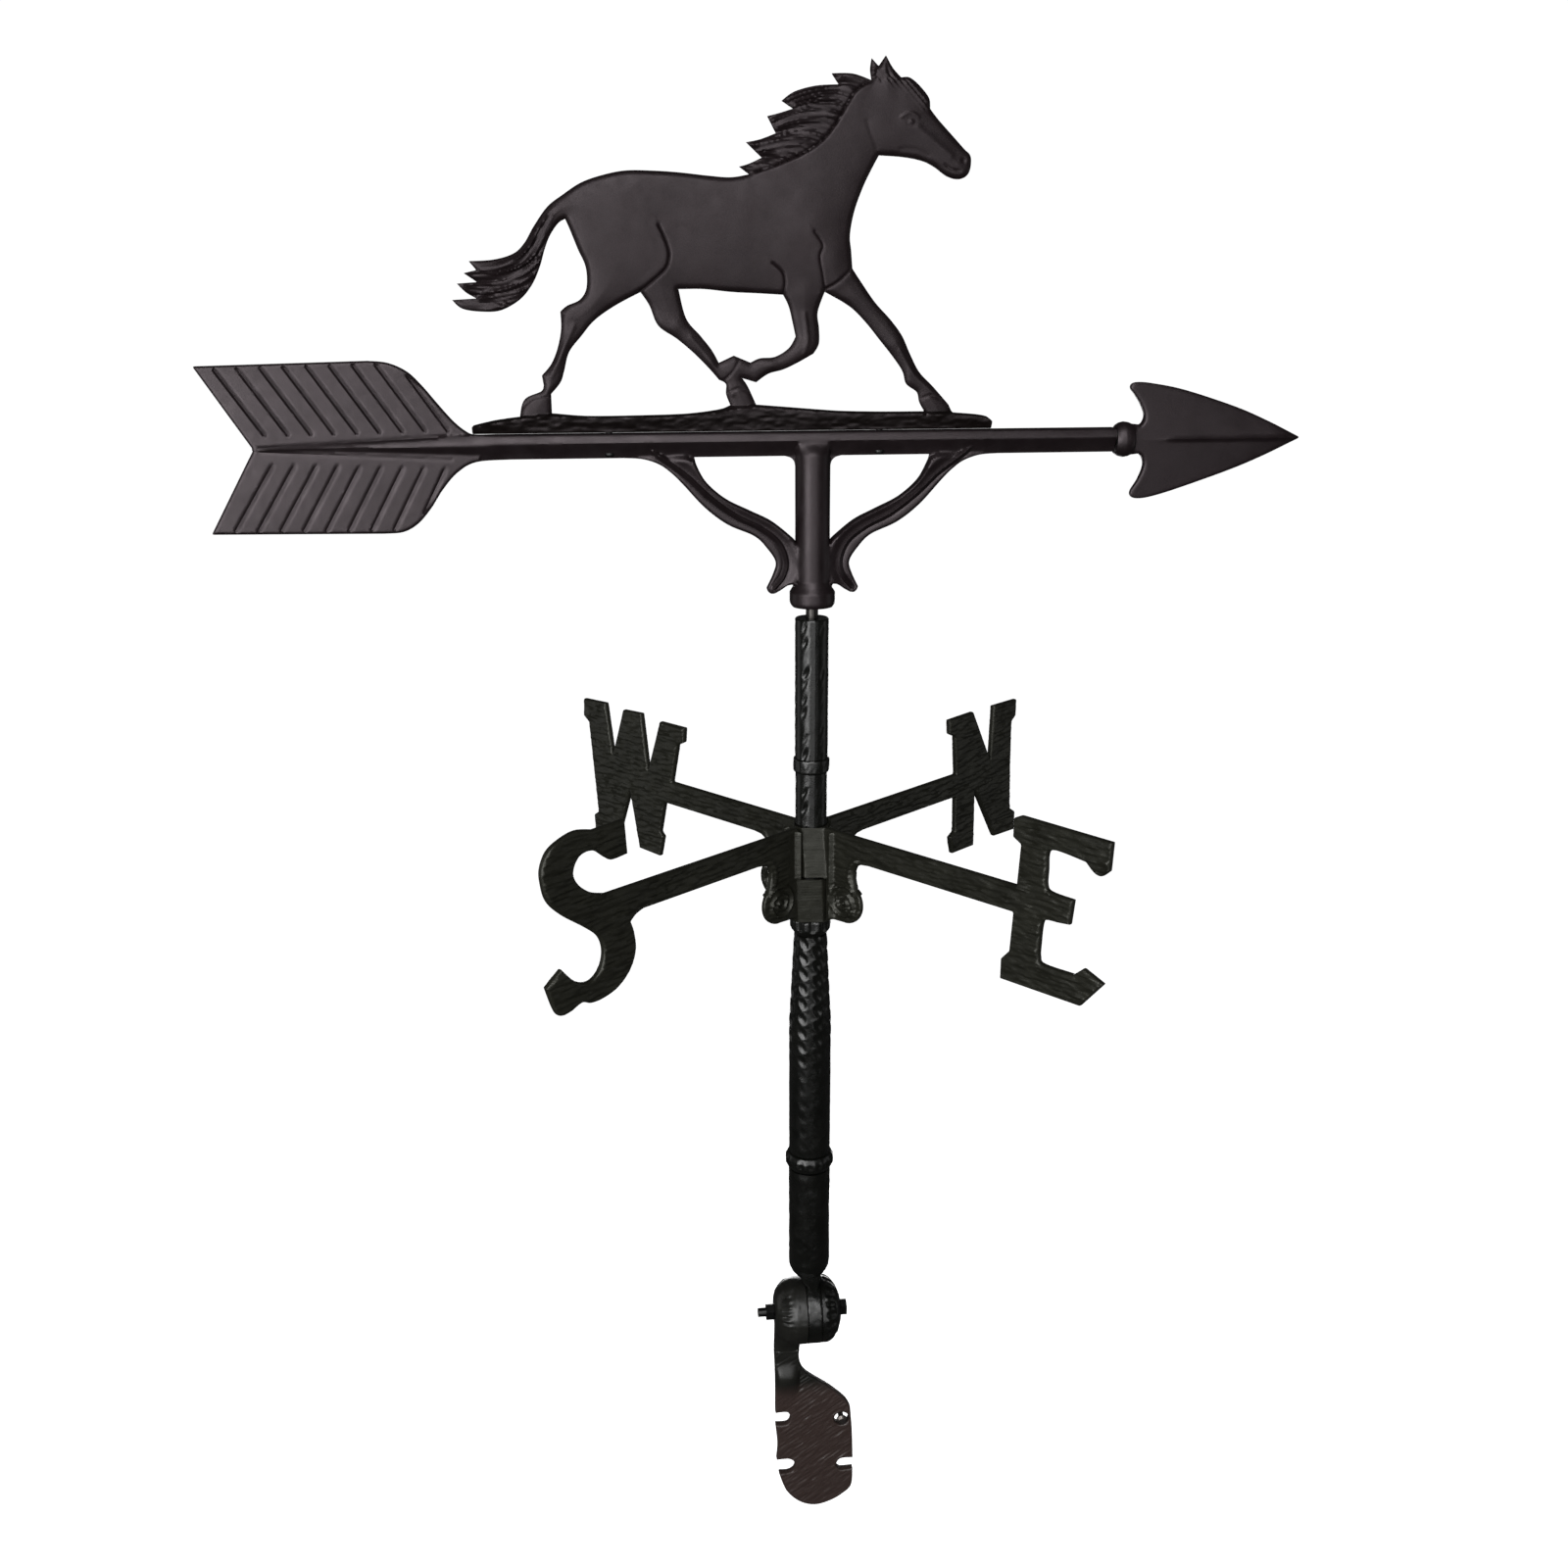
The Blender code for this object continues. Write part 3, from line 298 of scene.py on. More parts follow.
def distance(points, starts, ends):
    """Shortest distance from each point to any segment."""
    points = np.asarray(points, float)
    result = np.empty(len(points))
    along = ends - starts
    length = np.maximum((along ** 2).sum(1), 1e-12)
    for low in range(0, len(points), 1500):
        chunk = points[low:low + 1500]
        delta_x = chunk[:, 0:1] - starts[:, 0]
        delta_z = chunk[:, 1:2] - starts[:, 1]
        share = np.clip((delta_x * along[:, 0] + delta_z * along[:, 1]) / length, 0.0, 1.0)
        delta_x -= share * along[:, 0]
        delta_z -= share * along[:, 1]
        result[low:low + 1500] = np.sqrt((delta_x ** 2 + delta_z ** 2).min(1))
    return result


def path_distance(x, z, path):
    """Distance to an open smooth path."""
    line = np.array(open_curve(path), float)
    return distance(np.stack([x, z], 1), line[:-1], line[1:])


def path_side(x, z, path):
    """Signed distance to a path: positive on its left."""
    line = np.array(open_curve(path), float)
    best = np.full(len(x), 1e9)
    sign = np.ones(len(x))
    for (x0, z0), (x1, z1) in zip(line[:-1], line[1:]):
        dx = x1 - x0
        dz = z1 - z0
        share = np.clip(((x - x0) * dx + (z - z0) * dz) / (dx * dx + dz * dz + 1e-12), 0.0, 1.0)
        gap = np.hypot(x - x0 - share * dx, z - z0 - share * dz)
        closer = gap < best
        best = np.where(closer, gap, best)
        sign = np.where(closer, np.sign(dx * (z - z0) - dz * (x - x0)), sign)
    return best * sign


def inside(points, loops):
    """Even-odd test of many points."""
    odd = np.zeros(len(points), bool)
    x = points[:, 0]
    z = points[:, 1]
    starts, ends = segments_of(loops)
    for (x0, z0), (x1, z1) in zip(starts, ends):
        if z0 == z1:
            continue
        odd ^= ((z0 > z) != (z1 > z)) & (x < (x1 - x0) * (z - z0) / (z1 - z0) + x0)
    return odd


def hashed(a, b, seed):
    """Repeatable random numbers from -0.5 to 0.5 for pairs of whole numbers."""
    mixed = a.astype(np.int64) * 374761393 + b.astype(np.int64) * 668265263 + seed * 974634777
    mixed &= 0xFFFFFFFF
    mixed = ((mixed ^ (mixed >> 13)) * 1274126177) & 0xFFFFFFFF
    return (mixed ^ (mixed >> 16)) / 4294967295.0 - 0.5


def grain(x, z, wide, tall, seed=1):
    """Smooth random field from -0.5 to 0.5 with cells of the given size."""
    u = x / wide
    v = z / tall
    column = np.floor(u)
    row = np.floor(v)
    s = u - column
    t = v - row
    s = s * s * (3 - 2 * s)
    t = t * t * (3 - 2 * t)
    low = hashed(column, row, seed) * (1 - s) + hashed(column + 1, row, seed) * s
    high = hashed(column, row + 1, seed) * (1 - s) + hashed(column + 1, row + 1, seed) * s
    return low * (1 - t) + high * t


def turned(x, z, degrees):
    """Coordinates along and across a direction."""
    angle = math.radians(degrees)
    return x * math.cos(angle) + z * math.sin(angle), -x * math.sin(angle) + z * math.cos(angle)


def turned_grain(x, z, degrees, long_size, short_size, seed=1):
    """Random strokes that run at an angle to the x axis."""
    along, across = turned(x, z, degrees)
    return grain(along + 3.0 * grain(along, across, 17, 9, seed + 5), across, long_size, short_size, seed)


def bump(gap, width, height):
    """Soft ridge where the gap is 0."""
    return height * np.exp(-(gap / width) ** 2)


def line_relief(x, z, lines):
    """Ridges and, with a negative height, creases: each line is (path, width, height)."""
    return sum(bump(path_distance(x, z, path), width, height) for path, width, height in lines)


def blob(x, z, cx, cz, wide, tall, height, degrees=0.0):
    """Soft oval mound."""
    dx, dz = turned(x - cx, z - cz, degrees)
    return height * np.exp(-(dx / wide) ** 2 - (dz / tall) ** 2)


def ease(value, low, high):
    """Smooth step from 0 at low to 1 at high."""
    share = np.clip((value - low) / (high - low), 0.0, 1.0)
    return share * share * (3 - 2 * share)


def soft_max(a, b, blend):
    return 0.5 * (a + b + np.sqrt((a - b) ** 2 + blend * blend))


def rounded(d, radius):
    """Quarter-round edge profile from 0 at the outline to 1."""
    return np.sqrt(1.0 - (1.0 - np.clip(d / radius, 0.0, 1.0)) ** 2)


def barrel(offset, radius):
    """Half thickness of a round bar at this distance from its axis."""
    return np.sqrt(np.maximum(radius ** 2 - offset ** 2, 0.0))


# ---------------------------------------------------------------- meshes

def make_object(name, vertices, faces, sharp=40.0):
    mesh = bpy.data.meshes.new(name)
    mesh.from_pydata(vertices, [], faces)
    mesh.update()
    mesh.polygons.foreach_set("use_smooth", [True] * len(mesh.polygons))
    mesh.set_sharp_from_angle(angle=math.radians(sharp))
    item = bpy.data.objects.new(name, mesh)
    bpy.context.scene.collection.objects.link(item)
    return item


def left_normals(tangent):
    tangent = tangent / np.maximum(np.linalg.norm(tangent, axis=1, keepdims=True), 1e-9)
    return np.stack([-tangent[:, 1], tangent[:, 0]], 1)


def near_border_points(loops, layers, starts, ends):
    """Rows of points just inside the border."""
    extra = []
    for loop in loops:
        ring = np.array(loop, float)
        normal = left_normals(np.roll(ring, -1, axis=0) - np.roll(ring, 1, axis=0))
        for layer in layers:
            step = 1 if layer < 1.0 else 2
            for side in (1.0, -1.0):
                shifted = (ring + side * layer * normal)[::step]
                extra.append(np.concatenate([shifted, np.full((len(shifted), 1), layer)], 1))
    extra = np.concatenate(extra)
    extra = extra[inside(extra, loops)]
    return extra[distance(extra[:, :2], starts, ends) > 0.93 * extra[:, 2]][:, :2]


def track_points(tracks, step):
    """Rows of points along each crisp line: a track is (path, offsets)."""
    rows = []
    for path, offsets in tracks:
        line = np.array(open_curve(path), float)
        along = np.concatenate([[0.0], np.cumsum(np.linalg.norm(np.diff(line, axis=0), axis=1))])
        places = np.linspace(0.0, along[-1], max(2, int(along[-1] / step) + 1))
        middle = np.stack([np.interp(places, along, line[:, 0]), np.interp(places, along, line[:, 1])], 1)
        normal = left_normals(np.gradient(middle, axis=0))
        rows.extend(middle + offset * normal for offset in offsets)
    return np.concatenate(rows)


def thin_out(points, kept, gap):
    """Points that lie farther than gap from every kept point."""
    cells = {}
    for x, z in kept.tolist():
        cells.setdefault((int(x // gap), int(z // gap)), []).append((x, z))
    result = []
    for x, z in points.tolist():
        column = int(x // gap)
        row = int(z // gap)
        around = [cells.get((column + i, row + j), ()) for i in (-1, 0, 1) for j in (-1, 0, 1)]
        if all((x - a) ** 2 + (z - b) ** 2 >= gap * gap for cell in around for a, b in cell):
            result.append((x, z))
    return np.array(result)


def sheet_points(loops, spacing, layers, tracks, step):
    """Border points, rows just inside the border, rows along tracks, and an even grid between."""
    starts, ends = segments_of(loops)
    extra = near_border_points(loops, layers, starts, ends)
    if tracks:
        rows = track_points(tracks, step)
        rows = rows[inside(rows, loops)]
        rows = rows[distance(rows, starts, ends) > 0.35]
        extra = np.concatenate([rows, thin_out(extra, rows, 0.45)])
    low = starts.min(0)
    high = starts.max(0)
    rows = np.arange(low[1], high[1], spacing * 0.87)
    columns = np.arange(low[0], high[0], spacing)
    grid = np.array([(x + (spacing / 2 if index % 2 else 0.0), z)
                     for index, z in enumerate(rows) for x in columns])
    grid = grid[inside(grid, loops)]
    grid = grid[distance(grid, starts, ends) > layers[-1] + 0.55 * spacing]
    grid = thin_out(grid, extra, 0.6 * spacing)
    return np.concatenate([starts, extra, grid])


def casting(name, loops, height, spacing=1.3, step=1.0, layers=(0.15, 0.5, 1.1, 2.0), tracks=()):
    """A plate-like casting in the XZ plane: height(x, z, d) is its half thickness in millimetres."""
    loops = [refine(loop, step) for loop in loops]
    points = sheet_points(loops, spacing, layers, tracks, step)
    edges = []
    first = 0
    for loop in loops:
        edges.extend((first + i, first + (i + 1) % len(loop)) for i in range(len(loop)))
        first += len(loop)
    flat, _, triangles, _, _, _ = geometry.delaunay_2d_cdt([Vector(p) for p in points], edges, [], 0, 1e-5)
    flat = np.array([(p.x, p.y) for p in flat])
    triangles = np.array([tuple(t) for t in triangles], int)
    centres = flat[triangles].mean(1)
    triangles = triangles[inside(centres, loops)]
    used = np.unique(triangles)
    renumber = np.full(len(flat), -1)
    renumber[used] = np.arange(len(used))
    flat = flat[used]
    triangles = renumber[triangles]
    starts, ends = segments_of(loops)
    depth = distance(flat, starts, ends)
    half = np.maximum(height(flat[:, 0], flat[:, 1], depth), 0.12)
    count = len(flat)
    front = np.stack([flat[:, 0], -half, flat[:, 1]], 1)
    behind = np.stack([flat[:, 0], half, flat[:, 1]], 1)
    vertices = np.concatenate([front, behind]) * MM
    pairs = {}
    for a, b, c in triangles.tolist():
        pairs[(a, b)] = pairs[(b, c)] = pairs[(c, a)] = True
    faces = [tuple(t) for t in triangles.tolist()]
    faces += [(c + count, b + count, a + count) for a, b, c in triangles.tolist()]
    faces += [(b, a, a + count, b + count) for a, b in pairs if (b, a) not in pairs]
    return make_object(name, vertices.tolist(), faces)


def turned_skin(name, profile, around=96, relief=None, along="Z", step=1.1):
    """A closed turned piece: profile is (radius, height) in mm from the lower axis point to the upper one.
    relief(angle, height) adds to the radius."""
    stations = []
    for (r0, h0), (r1, h1) in zip(profile[:-1], profile[1:]):
        pieces = max(1, math.ceil(math.dist((r0, h0), (r1, h1)) / step))
        if r0 < 1e-6 or r1 < 1e-6:
            pieces = 1
        for piece in range(pieces):
            share = piece / pieces
            stations.append((r0 + (r1 - r0) * share, h0 + (h1 - h0) * share))
    stations.append(profile[-1])
    angle = np.arange(around) * (2.0 * math.pi / around)
    vertices = []
    rings = []
    for radius, height in stations:
        if radius < 1e-6:
            rings.append([len(vertices)])
            vertices.append((0.0, 0.0, height))
            continue
        wide = np.full(around, radius)
        if relief is not None:
            wide = wide + relief(angle, np.full(around, height), radius)
        rings.append(list(range(len(vertices), len(vertices) + around)))
        ring = np.stack([wide * np.cos(angle), wide * np.sin(angle), np.full(around, height)], 1)
        vertices.extend(ring.tolist())
    faces = []
    for lower, upper in zip(rings[:-1], rings[1:]):
        for i in range(around):
            j = (i + 1) % around
            if len(lower) == 1:
                faces.append((lower[0], upper[j], upper[i]))
            elif len(upper) == 1:
                faces.append((lower[i], lower[j], upper[0]))
            else:
                faces.append((lower[i], lower[j], upper[j], upper[i]))
    if along == "X":
        vertices = [(h, x, y) for x, y, h in vertices]
    return make_object(name, [tuple(c * MM for c in v) for v in vertices], faces)


def place(item, x, y, z, turn=0.0):
    item.data.transform(Matrix.Translation((x, y, z)) @ Matrix.Rotation(turn, 4, "Z"))
    return item


def lengthen(item, middle, share):
    """Stretch a piece along X about a middle given in millimetres."""
    shift = Matrix.Translation((middle * MM, 0.0, 0.0))
    item.data.transform(shift @ Matrix.Diagonal((share, 1.0, 1.0, 1.0)) @ shift.inverted())
    return item


def hang(item):
    """Put a piece of the vane in place: the vane rests very slightly out of level on its pivot."""
    item.data.transform(Matrix.Translation((0.0, MAST_Y, ARROW_Z)) @ Matrix.Rotation(TILT, 4, "Y"))
    return item


def drill(item, radius, start, end, along="Z"):
    """Cut a round hole about the origin, in millimetres."""
    bore = ((0, start), (radius, start), (radius, end), (0, end))
    tool = turned_skin("drill", bore, 48, along=along, step=400)
    modifier = item.modifiers.new("drill", "BOOLEAN")
    modifier.solver = "EXACT"
    modifier.operation = "DIFFERENCE"
    modifier.object = tool
    bpy.context.view_layer.update()
    graph = bpy.context.evaluated_depsgraph_get()
    mesh = bpy.data.meshes.new_from_object(item.evaluated_get(graph))
    item.modifiers.clear()
    item.data = mesh
    bpy.data.objects.remove(tool, do_unlink=True)
    return item


# ---------------------------------------------------------------- materials

def socket(node, name, value):
    node.inputs[name].default_value = value


def new_material(name):
    """A node material with its nodes, its link function and its shader."""
    material = bpy.data.materials.new(name)
    material.use_nodes = True
    nodes = material.node_tree.nodes
    return material, nodes, material.node_tree.links.new, nodes["Principled BSDF"]


def noise_node(nodes, link, vector, scale, detail=2.0):
    noise = nodes.new("ShaderNodeTexNoise")
    socket(noise, "Scale", scale)
    socket(noise, "Detail", detail)
    link(vector, noise.inputs["Vector"])
    return noise.outputs["Fac"]


def drawn_noise(nodes, link, where, scale):
    """Noise with its own scale along each axis."""
    mapping = nodes.new("ShaderNodeMapping")
    socket(mapping, "Scale", scale)
    link(where, mapping.inputs["Vector"])
    return noise_node(nodes, link, mapping.outputs["Vector"], 1.0, 4.0)


def ramp_node(nodes, link, value, dark, light, low=0.0, high=1.0):
    ramp = nodes.new("ShaderNodeValToRGB")
    for element, position, colour in zip(ramp.color_ramp.elements, (low, high), (dark, light)):
        element.position = position
        element.color = (*colour, 1.0)
    link(value, ramp.inputs["Fac"])
    return ramp.outputs["Color"]


def range_node(nodes, link, value, low, high, new_low, new_high):
    mapped = nodes.new("ShaderNodeMapRange")
    for name, number in (("From Min", low), ("From Max", high), ("To Min", new_low), ("To Max", new_high)):
        socket(mapped, name, number)
    link(value, mapped.inputs["Value"])
    return mapped.outputs["Result"]


def mix_node(nodes, link, share, first, second):
    """Blend of two colours, each of them an output or a fixed colour."""
    blend = nodes.new("ShaderNodeMix")
    blend.data_type = "RGBA"
    link(share, blend.inputs["Factor"])
    for index, colour in ((6, first), (7, second)):
        if isinstance(colour, tuple):
            blend.inputs[index].default_value = (*colour, 1.0)
        else:
            link(colour, blend.inputs[index])
    return blend.outputs[2]


def bump_node(nodes, link, height, strength, reach, normal=None):
    bumps = nodes.new("ShaderNodeBump")
    socket(bumps, "Strength", strength)
    socket(bumps, "Distance", reach)
    link(height, bumps.inputs["Height"])
    if normal:
        link(normal, bumps.inputs["Normal"])
    return bumps.outputs["Normal"]


def coating(name, dark, light, roughness, shine=0.5, worn=0.12, tint=(1.0, 1.0, 1.0), zone=None,
            strokes=None):
    """Satin powder coat over cast metal: mottled colour, fine grain, paler rubbed edges.
    zone is (colour, low, high): below the low height the coat takes that colour.
    strokes is (scale, depth) of fine strokes in the coat."""
    material, nodes, link, shader = new_material(name)
    socket(shader, "Specular IOR Level", shine)
    socket(shader, "Specular Tint", (*tint, 1.0))
    where = nodes.new("ShaderNodeTexCoord").outputs["Object"]
    colour = ramp_node(nodes, link, noise_node(nodes, link, where, 38.0, 6.0), dark, light, 0.30, 0.72)
    if zone:
        low_colour, low, high = zone
        split = nodes.new("ShaderNodeSeparateXYZ")
        link(where, split.inputs["Vector"])
        share = range_node(nodes, link, split.outputs["Z"], low, high, 0.0, 1.0)
        colour = mix_node(nodes, link, share, low_colour, colour)
    shape = nodes.new("ShaderNodeNewGeometry")
    edge = range_node(nodes, link, shape.outputs["Pointiness"], 0.53, 0.64, 0.0, worn)
    rubbed = (light[0] * 2.2, light[1] * 2.1, light[2] * 2.0)
    link(mix_node(nodes, link, edge, colour, rubbed), shader.inputs["Base Color"])
    mottle = noise_node(nodes, link, where, 95.0, 5.0)
    gloss = range_node(nodes, link, mottle, 0.3, 0.7, roughness - 0.06, roughness + 0.08)
    link(gloss, shader.inputs["Roughness"])
    normal = bump_node(nodes, link, noise_node(nodes, link, where, 1400.0, 3.0), 0.35, 0.0003)
    if strokes:
        scale, depth = strokes
        normal = bump_node(nodes, link, drawn_noise(nodes, link, where, scale), depth, 0.0006, normal)
    link(normal, shader.inputs["Normal"])
    return material


def bare_metal(name, colour, roughness):
    """Turned steel with fine rings and slight mottling."""
    material, nodes, link, shader = new_material(name)
    socket(shader, "Metallic", 1.0)
    where = nodes.new("ShaderNodeTexCoord").outputs["Object"]
    rings = drawn_noise(nodes, link, where, (60.0, 60.0, 2500.0))
    link(ramp_node(nodes, link, rings, [c * 0.7 for c in colour], colour), shader.inputs["Base Color"])
    gloss = range_node(nodes, link, rings, 0.0, 1.0, roughness - 0.08, roughness + 0.10)
    link(gloss, shader.inputs["Roughness"])
    return material


def plastic(name, colour):
    """Plain plastic with faint mottling."""
    material, nodes, link, shader = new_material(name)
    socket(shader, "Roughness", 0.45)
    where = nodes.new("ShaderNodeTexCoord").outputs["Object"]
    mottle = noise_node(nodes, link, where, 300.0)
    link(ramp_node(nodes, link, mottle, [c * 0.85 for c in colour], colour), shader.inputs["Base Color"])
    return material


def dress(item, material):
    item.data.materials.clear()
    item.data.materials.append(material)


def finish_piece(item, material, body, slot_name, *nodes):
    """Give a piece its material and body, and hide the CAD nodes it stands for. slot_name is not used."""
    dress(item, material)
    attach(item, body)
    if nodes:
        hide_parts(*nodes)


# ---------------------------------------------------------------- the horse

MANE_CREASE = ((38, 247), (28, 241), (21, 231), (12, 217), (0, 205), (-20, 195), (-43, 187))
TAIL_TOP = ((-177, 172), (-188, 164), (-198, 151), (-205, 140), (-213, 133), (-227, 129), (-244, 128))
THIGH_CREASE = ((-111, 152), (-106, 141), (-104, 132), (-107, 123), (-116, 115), (-125, 108))
ELBOW_CREASE = ((-31, 127), (-24, 121), (-22, 114), (-23, 106))
FORELEG_CREASE = ((-1, 148), (5, 139), (3, 131), (5, 120), (7, 109))
CHEST_CREASE = ((7, 109), (16, 114), (25, 122))
JAW_CREASE = ((36, 221), (39, 212), (43, 204))

# Creases between the muscles: path, width and depth.
BODY_CREASES = (
    (THIGH_CREASE, 0.9, 1.3),
    (ELBOW_CREASE, 0.8, 1.0),
    (FORELEG_CREASE, 0.8, 0.9),
    (CHEST_CREASE, 0.8, 1.0),
)

# Lines of relief on the head and the legs: path, width and height.
HEAD_LINES = (
    (((60, 224), (66, 227), (72, 224)), 1.0, 0.6),
    (((92, 193), (97, 190), (103, 189)), 0.8, -0.8),
    (((72, 217), (84, 208), (96, 199)), 2.5, 0.5),
    (((60, 203), (70, 203), (80, 199)), 1.6, -0.3),
    (((48, 262), (50, 255), (52, 250)), 1.1, -0.8),
    (((40, 258), (42, 252), (46, 247)), 0.9, -0.7),
)
LEG_LINES = (
    (((62, 66), (72, 50), (90, 34)), 1.6, 0.55),
    (((-173, 84), (-182, 66), (-190, 50)), 1.6, 0.55),
    (((-90, 76), (-76, 58), (-60, 36)), 1.6, 0.55),
    (((-8, 92), (-6, 74), (-8, 64)), 1.6, 0.55),
    (((78, 31), (86, 34), (93, 31)), 0.9, -0.7),
    (((-213, 27), (-204, 34), (-194, 35)), 0.9, -0.7),
    (((-64, 37), (-56, 40), (-50, 38)), 0.9, -0.7),
    (((-66, 46), (-60, 52), (-55, 60)), 0.9, -0.7),
)


def ground_top(x):
    """Upper edge of the strip of ground under the hooves."""
    return np.interp(x, (-248, -216, -192, -167, -128, -94, -71, -61, -43, -19, 18, 77, 102, 121, 132),
                     (15, 20.5, 22.5, 21, 21, 21.5, 24, 26, 27.5, 25.5, 22.5, 21.5, 21, 19.5, 17))


def horse_height(x, z, d):
    """Half thickness of the horse: soft muscles, creases, mane, tail, head and rough ground."""
    half = 2.6 + 2.3 * (1.0 - np.exp(-d / 8.0))
    half += blob(x, z, -140, 150, 30, 30, 1.3) + blob(x, z, -122, 128, 14, 18, 0.8)
    half += blob(x, z, -55, 145, 45, 28, 1.0) + blob(x, z, -8, 150, 22, 30, 1.3)
    half += blob(x, z, 8, 182, 18, 26, 0.5, -25)
    half += blob(x, z, 14, 132, 9, 14, 0.6) + blob(x, z, 52, 212, 11, 11, 0.8)
    half += 0.45 * grain(x, z, 26, 22, 3) + 0.30 * grain(x, z, 11, 13, 4)
    for path, width, depth in BODY_CREASES:
        side = path_side(x, z, path)
        half -= bump(side, width, depth)
        half += np.where(side < 0, 1, 0) * bump(side + 3.0, 3.0, 0.25)
    half -= bump(path_distance(x, z, JAW_CREASE), 1.6, 0.30)
    half += mane_relief(x, z) + tail_relief(x, z)
    half += head_relief(x, z)
    half += leg_relief(x, z)
    half *= 0.12 + 0.88 * rounded(d, 4.2)
    top = ground_top(x)
    rough = 1.0 * grain(x, z, 9, 2.4, 21) + 0.5 * grain(x, z, 3.5, 1.6, 22)
    slope = 4.6 + 3.6 * ease(z, 9.0, top)
    ground = np.where(z < top + 1.0, (slope + rough) * np.sqrt(np.clip((top + 1.0 - z) / 1.6, 0, 1)), 0.0)
    ground *= 0.55 + 0.45 * rounded(z - 9.5, 1.0)
    return soft_max(half, ground, 0.6)


def crest_x(z):
    """Where the mane leaves the neck at a height."""
    upwards = MANE_CREASE[::-1]
    return np.interp(z, [p[1] for p in upwards], [p[0] for p in upwards])


def mane_relief(x, z):
    """Locks that leave the crest, rise a little and fall back to their tips."""
    side = path_side(x, z, MANE_CREASE)
    inside_mane = (side < 0) & (x > -60) & (z > 184) & (x < 42) & (z < 256)
    run = np.clip(crest_x(z) - x, 0.0, 70.0)
    fall = z - 0.30 * run + 0.0095 * run ** 2 + 1.5 * grain(run, z, 16, 14, 8)
    relief = -0.7 + 2.6 * grain(run, fall, 24, 1.9, 11) + 1.3 * grain(run, fall, 15, 1.0, 12)
    for notch_x, notch_z in ((-38, 197), (-28, 213), (-16, 229), (16, 245)):
        back = crest_x(notch_z) - notch_x
        level = notch_z - 0.30 * back + 0.0095 * back ** 2
        relief -= bump(fall - level, 1.0, 1.0)
    relief = np.where(inside_mane, relief, 0.0)
    return relief - bump(np.where((x > -50) & (z > 184) & (x < 42), side, 99.0), 0.9, 1.3)


def tail_relief(x, z):
    """Strands that follow the tail's top edge."""
    below = -path_side(x, z, TAIL_TOP) + 1.2 * grain(x, z, 14, 10, 9)
    strands = 2.6 * grain(x, below, 22, 1.9, 13) + 1.3 * grain(x, below, 13, 1.0, 14) - 0.3
    return np.where((z > 90) & (x < -170), strands * ease(-x, 176, 192), 0.0)


def head_relief(x, z):
    """Eye, nostril, mouth, cheek, ears and forelock."""
    eye = np.hypot(x - 67, (z - 221) * 1.25)
    add = bump(eye, 2.0, 0.6) - bump(eye - 2.9, 0.8, 0.22) + line_relief(x, z, HEAD_LINES)
    add -= bump(np.hypot(x - 105.5, z - 196), 1.7, 1.1)
    forelock = (x > 48) & (x < 82) & (z > 228) & (z < 252)
    lock = bump(path_distance(x, z, ((52, 248), (64, 246), (74, 238), (79, 231))), 4.0, 0.6)
    return add + np.where(forelock, lock * (1.0 + 0.8 * np.sin((0.72 * x + 0.69 * z) * 2.2)), 0.0)


def leg_relief(x, z):
    """Slimmer legs with tendons, joints and the tops of the hooves."""
    add = line_relief(x, z, LEG_LINES) - 0.7 * ease(-z, -106, -92)
    for cx, cz in ((58, 70), (-176, 92), (-100, 84), (-4, 70), (-32, 56), (68, 50), (-188, 58), (-76, 60)):
        add += blob(x, z, cx, cz, 5, 5, 0.6)
    return add


def horse():
    loops = [soften(outline(HORSE), 0.9), outline(HIND_GAP), outline(BELLY_GAP), outline(FORE_GAP)]
    offsets = (-1.6, -0.8, 0.0, 0.8, 1.6)
    tracks = [(path, offsets) for path, _, _ in BODY_CREASES] + [(MANE_CREASE, offsets)]
    return casting("horse_casting", loops, horse_height, spacing=1.05, step=0.8,
                   layers=(0.12, 0.4, 0.9, 1.6), tracks=tracks)


# ---------------------------------------------------------------- the arrow

# Height of the shaft's ridge above the arrow's axis, in millimetres.
RIDGE = 2.3


def arrow_loops():
    top = open_curve(FEATHER_TOP)
    low = open_curve(FEATHER_LOW)
    brace = open_curve(BRACE_RIGHT)
    foot = [(34.2, -110), (32, -111.8), (29, -111.8), (24, -109), (19, -105.5), (15.5, -105)]
    collar = [(14.5, -107), (17.3, -111), (17.3, -119), (15.5, -122)]
    right = [(229.7, -9)] + brace + foot + collar
    left = [(-x, z) for x, z in reversed(right[1:])]
    outer = right + left + list(reversed(low)) + [(-436.5, -59.5), (-401.8, 0), (-437.5, 58)]
    outer += list(reversed(top)) + [(229.7, 9)]
    window = smooth_run(BRACE_WINDOW) + [(13.0, -73), (13.0, -17), (13.8, -13), (16.5, -10.2), (21, -9)]
    mirrored = [(-x, z) for x, z in window]
    return [soften(outer, 1.7), soften(window, 3.0), soften(mirrored, 3.0)]


def brace_line(side):
    """The middle of a brace, on the head's side of the mast for 1 and on the feathers' side for -1."""
    right = ((124, 1), (112, -9), (94, -22), (77, -38), (58, -52), (40, -61), (26, -72), (20, -86),
             (22, -98), (29, -107))
    return tuple((side * x, z) for x, z in right)


def groove(gap, width, depth):
    """V-shaped groove."""
    return depth * np.clip(1.0 - np.abs(gap) / width, 0.0, 1.0)


def quill_lines():
    """The slanting grooves of the two feather lobes."""
    upper = [((-426.0 + 16.1 * i, 60.0), (-392.0 + 16.0 * i, 8.6 + 0.25 * i)) for i in range(9)]
    lower = [((-389.0 + 15.1 * i, -9.8 - 0.5 * i), (-421.5 + 16.1 * i, -60.0)) for i in range(9)]
    return upper + lower


